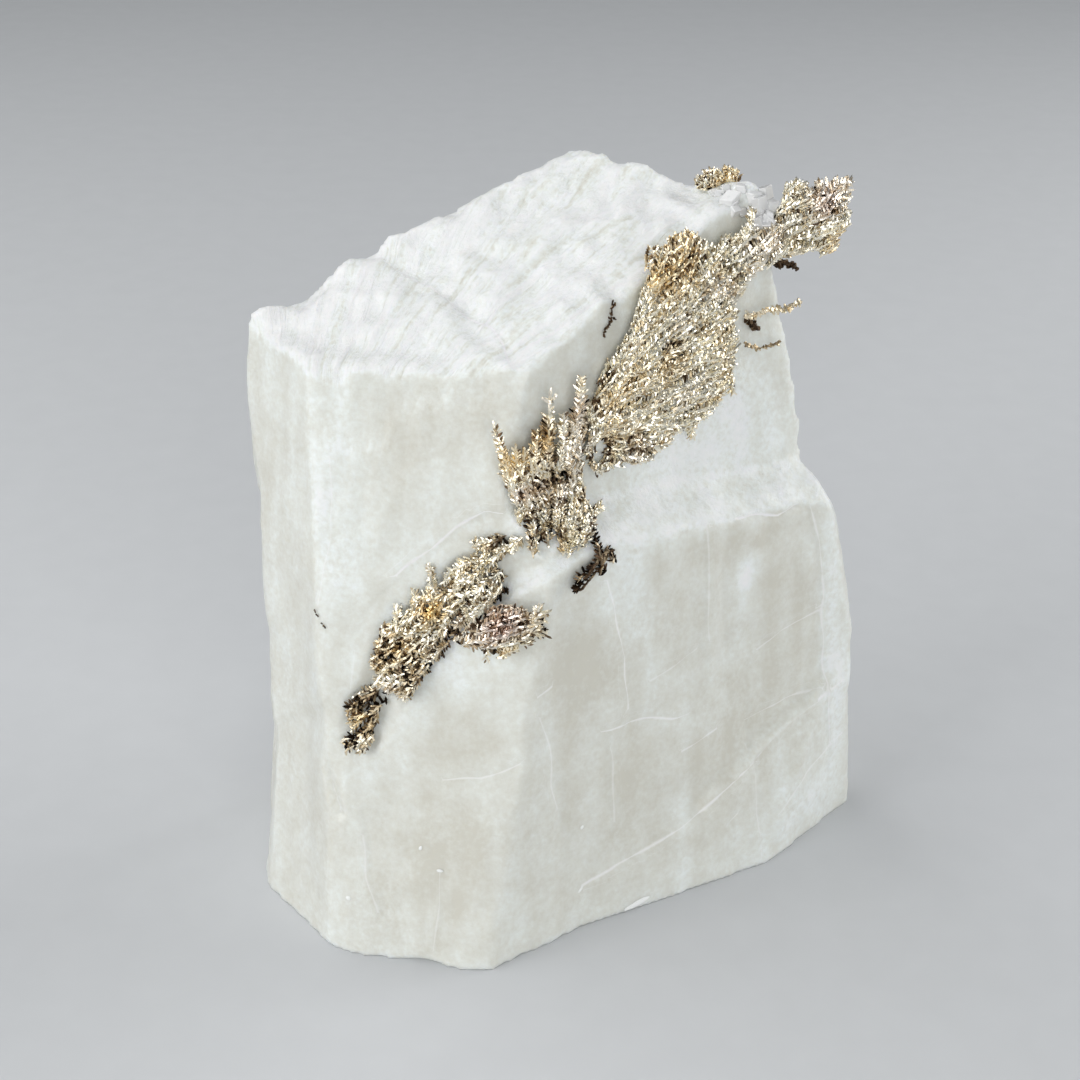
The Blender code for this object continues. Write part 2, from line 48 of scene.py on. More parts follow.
CENTRING = Vector((-1.83, -0.8, 0.0))


# --------------------------------------------------------------------------------------- small helpers

def smooth(low, high, x):
    """0 below low, 1 above high, and an S-shaped rise between them; x may be an array."""
    t = np.clip((x - low) / (high - low), 0.0, 1.0)
    return t * t * (3.0 - 2.0 * t)


def facing(bearing, lean):
    """The outward direction of a face."""
    b, l = math.radians(bearing), math.radians(lean)
    return Vector((math.cos(b) * math.cos(l), math.sin(b) * math.cos(l), math.sin(l)))


def along(bearing):
    """The level direction that runs to the right across a face, seen from in front of it."""
    b = math.radians(bearing)
    return Vector((-math.sin(b), math.cos(b), 0.0))


def noise_at(points, seed=0.0):
    """Smooth noise at each of an array's points, between about -1 and 1."""
    return np.array([noise.noise(Vector(p)) for p in points + seed])


def line_distance(places, line):
    """How far each place is from a line of points, and how far to the right of it, on the flat."""
    nearest, rightward = np.full(len(places), 1e9), np.zeros(len(places))
    for start, end in zip(line, line[1:]):
        start, run = np.array(start), np.subtract(end, start)
        t = np.clip((places - start) @ run / (run @ run), 0.0, 1.0)
        away = places - start - t[:, None] * run
        distance = np.hypot(away[:, 0], away[:, 1])
        side = (away[:, 0] * run[1] - away[:, 1] * run[0]) / math.hypot(*run)
        closer = distance < nearest
        nearest[closer], rightward[closer] = distance[closer], side[closer]
    return nearest, rightward


def colour(hex_code):
    """A linear RGBA colour from an sRGB hex code."""
    parts = [int(hex_code[i:i + 2], 16) / 255.0 for i in (1, 3, 5)]
    return (*[c / 12.92 if c <= 0.04045 else ((c + 0.055) / 1.055) ** 2.4 for c in parts], 1.0)


def add(tree, kind, sockets=None, **settings):
    """Adds a node. A socket's value is either the output that feeds it or what it is set to."""
    node = tree.nodes.new(kind)
    for name, value in settings.items():
        setattr(node, name, value)
    for name, value in (sockets or {}).items():
        if isinstance(value, bpy.types.NodeSocket):
            tree.links.new(value, node.inputs[name])
        else:
            node.inputs[name].default_value = value
    return node


def new_object(name, data):
    """Puts a mesh, a light or a camera in the scene."""
    obj = bpy.data.objects.new(name, data)
    bpy.context.scene.collection.objects.link(obj)
    return obj


def apply_modifiers(obj):
    """Replaces the object's mesh with what its modifiers make of it."""
    graph = bpy.context.evaluated_depsgraph_get()
    shaped = bpy.data.meshes.new_from_object(obj.evaluated_get(graph))
    obj.modifiers.clear()
    obj.data = shaped


def surface_of(mesh):
    """The mesh's surface, in which the nearest point to a place, or the first on a ray, is looked up."""
    return BVHTree.FromPolygons([v.co for v in mesh.vertices], [p.vertices for p in mesh.polygons])


def to_metres(mesh):
    """Takes a mesh from millimetres in the block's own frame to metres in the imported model's."""
    mesh.transform(Matrix.Scale(MM, 4) @ Matrix.Translation(CENTRING))


def numbers(mesh, kind, name, width=3):
    """A mesh's vertex positions or normals as an array."""
    items = getattr(mesh, kind)
    table = np.empty(len(items) * width, dtype=np.float32)
    items.foreach_get(name, table)
    return table.reshape(-1, width).astype(float)


# ----------------------------------------------------------------------------------------- the calcite

BLOCK_VOXEL = 0.30
SOFTENING_ROUNDS = 1
EDGE_SOFTENING_ROUNDS = 25  # of the copy that the block's edges are told from
LINE_REACH = 0.6  # beyond which a line on a face has no effect on its colour
FOOT_KEPT = (0.2, 1.2)  # the relief sets in between these heights, so that the foot stays flat
TOP_STARTS = (34.0, 37.0)  # and the broken top between these
LEDGE_STARTS = (20.0, 26.0)  # and the notch's ledge between these

# The slab at the foot of the front right face: where it starts along the face, where it ends, how fast it
# comes out, the height of the step at its upper edge, how far above that edge the face is planed as well,
# and the edge as a point on it and its slope.
SLAB_ROOT, SLAB_END, SLAB_SPREAD, SLAB_STEP, SLAB_MARGIN = -3.0, 20.5, 0.122, 0.18, 3.0
SLAB_EDGE = (3.0, 4.4, 0.488)
FACE_REACH = 11.5  # how far out the front right face stands at the foot

# Dents that draw the right end in beside the ledge: how deep, how high up, and over what height each fades.
# They start between these distances out from the block's axis.
SHOULDER_DENTS = ((0.85, 29.2, 2.0), (0.40, 34.0, 3.0))
SHOULDER_STARTS = (18.0, 20.5)

TOP_BEARING, TOP_LEAN, TOP_POINT = -116.6, 65.5, Vector((0.0, 0.0, 44.8))
CREASE = (
    (-13.8, 0.9), (-11.6, 0.4), (-8.4, -1.1), (-5.7, -2.4), (-3.9, -3.1), (-2.2, -3.5), (-0.6, -4.6),
    (0.8, -6.1),
)
STREAK_CENTRE = (-9.0, -22.5)  # that the hackles on the top spread from
STREAK_REACH = 22.0  # how far from there a turn about it is measured as a length: near the top's middle

# A smoother stretch of the top: its middle and its two half widths, how much of the relief is left on it,
# and between which shares of the half widths the rest sets in.
CALM, CALM_SHARE, CALM_ENDS = (1.0, -2.6, 3.4, 2.6), 0.25, (0.7, 1.4)

# Layers of noise in the stone. Each has its strength, which is a height in millimetres where it moves the
# surface, its waves to a millimetre, and its seed. Arcs run across the fan of streaks and hackles along it.
SWELLS = ((0.05, 0.55, 0.0), (0.025, 1.6, 0.0))
SIDE_FURROWS = ((0.06, (0.9, 0.9, 0.12), 20.0),)
TOP_GRIT = ((0.08, 1.7, 0.0), (0.05, 3.2, 5.0))
ARCS, RIPPLES = (0.10, (0.14, 0.38, 1.0), 1.0), (0.20, 0.24, 2.0)
HACKLES, FINE_HACKLES = (0.22, (0.36, 0.05, 1.0), 8.0), (0.12, (0.9, 0.10, 1.0), 12.0)
FINE_HACKLE_PATCHES = ((1.0, 0.22, 14.0),)
STREAK_WANDER = ((1.6, 0.16, 33.0),)
LINE_WANDER = ((0.25, 0.35, 4.0),)
RIM_WANDER = ((0.10, 0.5, 40.0),)
MILK_CLOUDS = ((0.12, 0.12, 70.0), (0.12, 0.4, 80.0))
MILK_VEILS = ((0.25, (0.8, 0.8, 0.06), 90.0),)
FROST_PATCHES = ((1.0, 0.16, 30.0),)

# How milky the stone is everywhere, and how much whiter it is painted on the ledge, partly for its sugary
# frost and partly as painted light from above, along its edges, as a painted glow of light through the thin
# stone, and on the broken top. It is frosted on the top, and less so in patches and where it is milky
# enough, from the first of those two degrees to the second.
MILK, LEDGE_MILK_AND_LIGHT, PAINTED_EDGE_GLOW, TOP_MILK = 0.45, 0.45, 0.2, 0.55
MILKY_ENOUGH, MILKY_FROST, PATCH_FROST = (0.55, 1.0), 0.8, 0.3

# A point counts as on the top, the ledge or a face by how nearly it looks that way, from the first of these
# cosines to the second, and as on an edge by how far it stands out from the same surface smoothed a lot.
ON_TOP, ON_LEDGE, ON_FACE, ON_EDGE = (0.62, 0.88), (0.35, 0.6), (0.80, 0.95), (0.04, 0.18)

# The faces, by bearing and lean. The lines on them are drawn as points (how far along the face, how high):
# steps, where a thin sheet of stone ends and the surface drops back to the right of the line, and cracks.
# Each has its depth and how white it shows.
FACES = {
    "front right": (-56.5, 6.0), "front left": (-102.0, 14.6), "left end": (178.0, 0.6),
    "back left": (115.0, 5.0), "back right": (62.0, 6.5), "right end": (15.0, 12.4),
    "top": (TOP_BEARING, TOP_LEAN),
}
FACE_LINES = {
    "front right": (
        (
            "step", 0.10, 0.75,
            ((21.2, 12.0), (15.8, 11.0), (11.4, 8.0), (5.1, 5.1), (0.1, 4.0), (-3.6, 3.4)),
        ),
        ("crack", 0.06, 0.6, ((11.9, 11.4), (15.9, 12.1), (19.1, 12.0))),
        ("step", 0.08, 0.6, ((21.2, 7.0), (17.5, 6.1), (13.7, 3.9))),
        ("crack", 0.06, 0.8, ((-1.1, 15.5), (2.8, 14.9), (6.5, 14.0))),
        ("crack", 0.06, 0.7, ((5.7, 11.3), (9.1, 12.0))),
        ("crack", 0.06, 0.7, ((-6.4, 20.0), (-5.0, 20.3))),
        ("step", 0.10, 0.7, ((1.1, 16.2), (1.1, 20.5), (0.4, 24.9), (-0.2, 26.9))),
        ("step", 0.08, 0.5, ((-5.3, 10.5), (-5.8, 16.0), (-6.2, 18.8))),
        ("step", 0.08, 0.4, ((-0.5, 14.1), (-0.3, 7.5))),
        ("step", 0.12, 0.4, ((11.8, -1.0), (11.8, 9.6))),
        ("step", 0.10, 0.4, ((8.7, 28.7), (8.4, 19.1))),
        ("step", 0.14, 0.6, ((18.1, 27.3), (19.3, 21.3), (19.5, 11.9), (19.8, 6.8))),
        (
            "crack", 0.16, 1.0,
            ((0.3, 29.6), (5.9, 28.7), (8.5, 28.8), (12.2, 27.9), (15.2, 27.2), (17.9, 27.7)),
        ),
        ("crack", 0.08, 0.8, ((5.9, 29.2), (8.1, 29.0), (10.3, 29.5))),
        ("crack", 0.08, 0.6, ((13.2, 17.0), (15.5, 17.9), (19.3, 18.3))),
        ("crack", 0.05, 0.5, ((3.2, 17.9), (7.4, 18.9))),
        ("crack", 0.05, 0.6, ((9.0, 4.2), (10.4, 5.1))),
    ),
    "front left": (
        (
            "step", 0.14, 0.9,
            ((-8.2, 27.2), (-7.4, 28.1), (-5.4, 29.7), (-3.8, 31.3), (-2.1, 32.3), (-0.7, 32.3)),
        ),
        ("crack", 0.30, 0.3, ((-16.4, 18.7), (-14.8, 16.2), (-12.9, 13.4), (-11.4, 10.3))),
        ("step", 0.18, 0.4, ((-8.3, 3.3), (-9.2, 6.0), (-9.7, 9.0))),
        ("step", 0.12, 0.4, ((-4.2, 1.1), (-4.1, 4.5), (-4.0, 7.0))),
        ("crack", 0.10, 0.6, ((-4.1, 13.7), (-1.5, 14.0), (0.6, 15.0), (2.7, 16.1))),
        ("crack", 0.05, 0.4, ((-13.6, 24.0), (-12.6, 30.0), (-12.9, 35.0))),
        ("crack", 0.05, 0.3, ((-11.4, 14.0), (-10.8, 22.0))),
    ),
    "left end": (
        ("step", 0.25, 0.5, ((-9.0, 4.0), (-4.0, 16.0), (-1.0, 30.0))),
        ("step", 0.20, 0.4, ((3.0, 2.0), (4.0, 20.0), (3.0, 38.0))),
        ("crack", 0.15, 0.6, ((-6.0, 24.0), (6.0, 29.0))),
    ),
    "back left": (
        ("step", 0.22, 0.5, ((-9.0, 1.0), (-8.4, 14.0), (-8.8, 30.0), (-8.0, 38.0))),
        ("crack", 0.12, 0.7, ((-14.0, 22.0), (-4.0, 19.0), (5.0, 17.5), (9.0, 18.2))),
        ("step", 0.15, 0.5, ((6.0, 2.0), (7.0, 10.0), (6.4, 19.0))),
        ("crack", 0.10, 0.6, ((-2.0, 28.0), (3.0, 30.0), (10.0, 30.6))),
        ("step", 0.12, 0.4, ((1.5, 22.0), (1.0, 31.0), (1.8, 42.0))),
    ),
    "back right": (
        ("step", 0.20, 0.5, ((4.0, 2.0), (4.6, 18.0), (4.0, 34.0))),
        ("crack", 0.12, 0.7, ((-6.0, 12.0), (-1.0, 14.5), (5.0, 15.2))),
    ),
    "right end": (
        ("step", 0.15, 0.5, ((-6.0, 30.0), (-2.0, 29.0), (6.0, 30.5))),
        ("crack", 0.12, 0.6, ((-8.0, 8.0), (0.0, 11.0), (7.0, 11.6))),
        ("step", 0.15, 0.5, ((2.0, 2.0), (1.4, 14.0), (2.0, 26.0))),
    ),
    "top": (
        ("step", 0.20, 1.0, CREASE[::-1]),
        ("crack", 0.06, 0.6, ((1.1, -5.7), (1.1, -4.2), (2.9, -1.6), (4.7, 1.4), (6.2, 2.1))),
        ("crack", 0.05, 0.6, ((4.8, -6.3), (3.8, -3.8), (2.9, -1.6))),
    ),
}
STEP_SOFTNESS, STEP_FADE, CRACK_WIDTH = 0.18, 3.0, 0.35  # how wide a step is, how far back it fades, a crack

# How milky the stone is, as patches on the faces: the middle (how far along, how high), the two half widths,
# and how much whiter (above 0) or clearer and greyer (below 0) than the rest. One long band, below the
# ledge's crack on the front right face, is painted shadow under its lip.
MILK_AND_SHADOW_PATCHES = {
    "top": ((-14.0, -5.0, 4.5, 5.0, 0.35), (-6.0, -5.0, 4.0, 2.5, 0.15), (6.0, 9.0, 4.0, 1.5, 0.3)),
    "front right": (
        (0.0, 25.5, 1.6, 2.6, 0.5), (11.3, 23.6, 2.0, 2.2, 0.35), (3.3, 23.5, 2.4, 6.5, 0.45),
        (11.0, 32.5, 8.0, 5.5, 0.55), (4.5, 22.0, 4.5, 5.0, -0.35), (15.0, 21.0, 4.0, 4.5, -0.30),
        (-3.5, 21.0, 3.5, 4.0, -0.45), (3.0, 11.5, 5.0, 3.0, -0.15), (16.0, 3.5, 3.5, 2.6, 0.35),
        (4.5, 1.5, 6.0, 1.6, 0.15), (12.5, 13.0, 4.0, 4.0, -0.20), (8.0, 40.0, 4.0, 4.0, 0.3),
        # the second patch on the next line, a long band at (9.0, 26.4) below the ledge's crack, is painted
        # shadow under its lip
        (20.5, 14.0, 1.3, 15.0, 0.5), (9.0, 26.4, 9.0, 1.3, -0.35), (6.0, 10.0, 9.0, 4.0, -0.15),
        (13.3, 25.8, 0.7, 0.4, -0.7), (11.9, 23.2, 0.5, 0.9, 0.8),
    ),
    "front left": (
        (-4.5, 25.0, 3.0, 5.0, 0.45), (-13.0, 31.0, 2.4, 8.0, 0.40), (-10.5, 14.0, 3.5, 5.0, 0.10),
        (-6.0, 37.5, 4.5, 3.6, -0.20), (0.5, 36.0, 2.5, 3.0, -0.25), (-3.0, 17.0, 3.0, 2.2, -0.35),
        (-4.5, 7.0, 4.0, 5.0, -0.35), (-9.0, 36.0, 2.0, 3.0, -0.10), (-0.5, 9.0, 3.5, 5.0, -0.10),
    ),
}


def merged_copy(node, name):
    """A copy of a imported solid, its loose triangles joined, in millimetres in the block's own frame."""
    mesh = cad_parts[node].data.copy()
    mesh.transform(Matrix.Translation(-CENTRING) @ Matrix.Scale(1.0 / MM, 4))
    bm = bmesh.new()
    bm.from_mesh(mesh)
    bmesh.ops.remove_doubles(bm, verts=bm.verts[:], dist=0.001)
    bm.to_mesh(mesh)
    bm.free()
    return new_object(name, mesh)


def layered(points, layers):
    """Layers of noise, added up."""
    return sum(strength * noise_at(points * np.array(per_mm), seed) for strength, per_mm, seed in layers)


def ridges(points, layer):
    """A layer of noise with sharp crests."""
    strength, per_mm, seed = layer
    return strength * (0.5 - 2.0 * np.abs(noise_at(points * np.array(per_mm), seed)))


def places_on(face, points):
    """The points measured along a face and up it: by height on the sides, in its own plane on the top."""
    bearing, lean = FACES[face]
    if face != "top":
        return np.stack([points @ np.array(along(bearing)), points[:, 2]], axis=1)
    up = facing(bearing, lean).cross(along(bearing))
    from_middle = points - np.array(TOP_POINT)
    return np.stack([from_middle @ np.array(along(bearing)), from_middle @ np.array(up)], axis=1)


def streak_places(points):
    """Places on the top in which hackles that spread like a fan run straight: across and along them."""
    away = places_on("top", points) - np.array(STREAK_CENTRE)
    r, turn = np.hypot(away[:, 0], away[:, 1]), np.arctan2(away[:, 1], away[:, 0])
    return np.stack([turn * STREAK_REACH, r, np.zeros_like(r)], axis=1)


def top_detail(points):
    """The broken top: hackles that spread from the front, over ripples, with a calmer stretch."""
    places, streaks = places_on("top", points), streak_places(points)
    streaks = streaks + layered(points, STREAK_WANDER)[:, None]
    arcs = ridges(streaks, ARCS) + ridges(points, RIPPLES)
    hackles = ridges(streaks, HACKLES)
    hackles += ridges(streaks, FINE_HACKLES) * smooth(-0.4, 0.4, layered(points, FINE_HACKLE_PATCHES))
    calm = np.hypot((places[:, 0] - CALM[0]) / CALM[2], (places[:, 1] - CALM[1]) / CALM[3])
    rough = (arcs + hackles) * (CALM_SHARE + (1.0 - CALM_SHARE) * smooth(*CALM_ENDS, calm))
    return rough + layered(points, TOP_GRIT)


def face_detail(points, face):
    """The steps and cracks of one face, how far each point is from the nearest, and how white that shows."""
    places = places_on(face, points)
    detail = np.zeros(len(points))
    nearest, white = np.full(len(points), LINE_REACH), np.zeros(len(points))
    wander = layered(points, LINE_WANDER)
    for kind, depth, whiteness, line in FACE_LINES[face]:
        distance, rightward = line_distance(places + wander[:, None], line)
        if kind == "crack":
            detail -= depth * np.exp(-((distance / CRACK_WIDTH) ** 2))
        else:
            beyond = smooth(-STEP_SOFTNESS, STEP_SOFTNESS, rightward)
            detail -= depth * beyond * np.exp(-((distance / STEP_FADE) ** 2))
        # only beside the line itself, not past its ends; the sign tells its two sides apart, so that the
        # line stays sharp between the mesh's points
        beside = np.abs(rightward) > 0.9 * distance
        closer = (distance < np.abs(nearest)) & (distance < LINE_REACH) & beside
        nearest[closer], white[closer] = rightward[closer], whiteness
    return detail, nearest, white


def milk_and_shadow(points, face):
    """How much whiter or greyer the patches on a face make it; one of them is a painted shadow under the
    ledge's lip.
    """
    places = places_on(face, points)
    milk_and_painted_light = np.zeros(len(points))
    for a, z, half_width, half_height, whiter in MILK_AND_SHADOW_PATCHES.get(face, ()):
        away = ((places[:, 0] - a) / half_width) ** 2 + ((places[:, 1] - z) / half_height) ** 2
        milk_and_painted_light += whiter * np.exp(-away)
    return milk_and_painted_light


def block_detail(points, normals):
    """How far the fine surface stands out from the broad shape, and what the material needs to know."""
    height = points[:, 2]
    upward = normals @ np.array(facing(TOP_BEARING, TOP_LEAN)) + layered(points, RIM_WANDER)
    on_top = smooth(*ON_TOP, upward) * smooth(*TOP_STARTS, height)
    detail = layered(points, SWELLS)
    detail += (1.0 - on_top) * layered(points, SIDE_FURROWS)
    detail += on_top * top_detail(points)
    # the ledge faces up and is painted whiter, partly for its sugary frost and partly as painted light from
    # above
    on_ledge = smooth(*ON_LEDGE, normals[:, 2]) * (1.0 - on_top) * smooth(*LEDGE_STARTS, height)
    milk_and_painted_light = MILK + layered(points, MILK_CLOUDS) + LEDGE_MILK_AND_LIGHT * on_ledge
    milk_and_painted_light += (1.0 - on_top) * layered(points, MILK_VEILS)
    to_line, line_white = np.full(len(points), LINE_REACH), np.zeros(len(points))
    for face, (bearing, lean) in FACES.items():
        on_face = smooth(*ON_FACE, normals @ np.array(facing(bearing, lean)))
        relief, nearest, white = face_detail(points, face)
        detail += on_face * relief
        milk_and_painted_light += on_face * milk_and_shadow(points, face)
        here = (on_face > 0.3) & (np.abs(nearest) < np.abs(to_line))
        to_line[here], line_white[here] = nearest[here], white[here]
    patchy = smooth(0.0, 0.5, layered(points, FROST_PATCHES))
    frost = np.clip(on_top + MILKY_FROST * smooth(*MILKY_ENOUGH, milk_and_painted_light) + PATCH_FROST * patchy, 0.0, 1.0)
    milk_and_painted_light += TOP_MILK * on_top
    looks = dict(frost=frost, hackled=on_top, milk_and_painted_light=milk_and_painted_light, to_line=to_line, line_white=line_white)
    return detail * smooth(*FOOT_KEPT, height), looks


def settle_slab(points):
    """The slab at the foot of the front right face, planed back so that its upper edge is a low step."""
    bearing, lean = FACES["front right"]
    out, height = np.array(facing(bearing, lean)), points[:, 2]
    proud = (points - np.array(facing(bearing, 0.0)) * FACE_REACH) @ out
    across = points @ np.array(along(bearing))
    edge = SLAB_EDGE[1] + SLAB_EDGE[2] * (across - SLAB_EDGE[0])
    below_edge = np.clip(1.0 - height / edge, 0.0, 1.0)
    most = SLAB_STEP + (SLAB_SPREAD * (across - SLAB_ROOT) - SLAB_STEP) * below_edge
    there = (across > SLAB_ROOT) & (across < SLAB_END) & (proud > most) & (height < edge + SLAB_MARGIN)
    points[there] += (most - proud)[there, None] * out
    return points


def shoulder_dent(points):
    """The right end is drawn in where it meets the notch's ledge."""
    out = np.array(facing(FACES["right end"][0], 0.0))
    depth = sum(deep * np.exp(-(((points[:, 2] - z) / fade) ** 2)) for deep, z, fade in SHOULDER_DENTS)
    near_end = smooth(*SHOULDER_STARTS, points @ out)
    return points - (depth * near_end)[:, None] * out


def convexity(block):
    """How far each point stands out from the same surface smoothed a lot: high along the edges."""
    smoothed = new_object("smoothed", block.data.copy())
    smoothing = smoothed.modifiers.new("smoothing", "SMOOTH")
    smoothing.iterations = EDGE_SOFTENING_ROUNDS
    apply_modifiers(smoothed)
    away = numbers(block.data, "vertices", "co") - numbers(smoothed.data, "vertices", "co")
    bpy.data.objects.remove(smoothed)
    return np.sum(away * numbers(block.data, "vertex_normals", "vector"), axis=1)


def make_calcite(material):
    """The block, and its surface in millimetres for what stands on it."""
    block = merged_copy("calcite_block", "calcite_body")
    remesh = block.modifiers.new("even mesh", "REMESH")
    remesh.mode = "VOXEL"
    remesh.voxel_size = BLOCK_VOXEL
    soften = block.modifiers.new("soften", "SMOOTH")
    soften.iterations = SOFTENING_ROUNDS
    apply_modifiers(block)
    mesh = block.data
    points = shoulder_dent(settle_slab(numbers(mesh, "vertices", "co")))
    mesh.vertices.foreach_set("co", points.astype(np.float32).ravel())
    mesh.update()
    edge = smooth(*ON_EDGE, convexity(block))
    normals = numbers(mesh, "vertex_normals", "vector")
    detail, looks = block_detail(points, normals)
    # painted glow: the edges are whitened as if light shone through the thin stone there
    looks["milk_and_painted_light"] = np.clip(looks["milk_and_painted_light"] + PAINTED_EDGE_GLOW * edge, 0.0, 2.0)
    looks["across_streaks"], looks["along_streaks"], _ = streak_places(points).T
    points += normals * detail[:, None]
    mesh.vertices.foreach_set("co", points.astype(np.float32).ravel())
    for label, values in looks.items():
        mesh.attributes.new(label, "FLOAT", "POINT").data.foreach_set("value", values.astype(np.float32))
    mesh.shade_smooth()
    mesh.update()
    stone = surface_of(mesh)
    to_metres(mesh)
    mesh.materials.clear()
    mesh.materials.append(material)
    return block, stone


# Where the clear crystals stand at the top's right corner, a few together, how far they scatter, their sizes
# and bevels, and how far they turn and lean in radians.
CLEAR_CRYSTALS = (
    (13.3, 5.9, 49.6), (14.6, 5.6, 49.5), (15.5, 5.0, 49.0), (14.1, 4.4, 49.0), (15.3, 3.8, 48.4),
    (12.3, 6.9, 49.9), (15.9, 3.0, 47.6), (14.9, 6.6, 49.2),
)
CRYSTALS_TOGETHER, CRYSTAL_SCATTER, CRYSTAL_SIZES, CRYSTAL_BEVEL = 3, 0.6, (0.5, 1.15), 0.06
CRYSTAL_TURN, CRYSTAL_LEAN = 6.3, 0.7
RHOMB = Matrix(((1.0, 0.28, 0.2, 0.0), (0.0, 1.0, 0.28, 0.0), (0.0, 0.0, 1.0, 0.0), (0.0, 0.0, 0.0, 1.0)))


def make_clear_crystals(material, stone):
    """Small rhombs: leaned-over cubes with their edges just taken off."""
    bm, rng = bmesh.new(), random.Random(4)
    for middle in CLEAR_CRYSTALS:
        for _ in range(CRYSTALS_TOGETHER):
            scatter = Vector([rng.uniform(-CRYSTAL_SCATTER, CRYSTAL_SCATTER) for _ in range(3)])
            where = Matrix.Translation(stone.find_nearest(Vector(middle) + scatter)[0])
            where = where @ Matrix.Rotation(rng.uniform(0.0, CRYSTAL_TURN), 4, "Z")
            where = where @ Matrix.Rotation(rng.uniform(-CRYSTAL_LEAN, CRYSTAL_LEAN), 4, "X") @ RHOMB
            bmesh.ops.create_cube(bm, size=rng.uniform(*CRYSTAL_SIZES), matrix=where)
    bmesh.ops.bevel(bm, geom=bm.edges[:], offset=CRYSTAL_BEVEL, segments=1, affect="EDGES")
    return finish_stone(bm, "clear_crystals", material)


# Chips of white stone stuck on the faces: where each is, its length, its width, and its turn in degrees.
CHIPS = (
    ("front right", (0.9, 0.5), 2.3, 0.45, 12.0), ("front right", (-3.2, 8.3), 0.35, 0.25, 40.0),
    ("front left", (-5.5, 8.5), 0.35, 0.25, 60.0), ("front left", (-4.0, 7.1), 0.50, 0.25, -10.0),
    ("front left", (-10.6, 4.2), 0.40, 0.30, 0.0), ("front right", (-3.6, 3.2), 0.6, 0.2, 35.0),
)
OUTSIDE = 60.0  # farther out than any of the stone


def make_chips(material, stone):
    """Flattened pebbles, half sunk in the stone."""
    bm = bmesh.new()
    for face, (a, z), length, width, turn in CHIPS:
        bearing, _ = FACES[face]
        out, across = facing(bearing, 0.0), along(bearing)
        place, normal, _, _ = stone.ray_cast(across * a + out * OUTSIDE + Vector((0.0, 0.0, z)), -out)
        flat = normal.to_track_quat("Z", "Y").to_matrix().to_4x4()
        where = Matrix.Translation(place) @ flat @ Matrix.Rotation(math.radians(turn), 4, "Z")
        where = where @ Matrix.Diagonal((length, width, 0.5 * width, 1.0))
        bmesh.ops.create_icosphere(bm, subdivisions=2, radius=0.5, matrix=where)
    return finish_stone(bm, "chips", material)


def finish_stone(bm, name, material):
    """Turns small stones into a piece, in metres."""
    bmesh.ops.recalc_face_normals(bm, faces=bm.faces[:])
    mesh = bpy.data.meshes.new(name)
    bm.to_mesh(mesh)
    bm.free()
    to_metres(mesh)
    mesh.materials.append(material)
    return new_object(name, mesh)
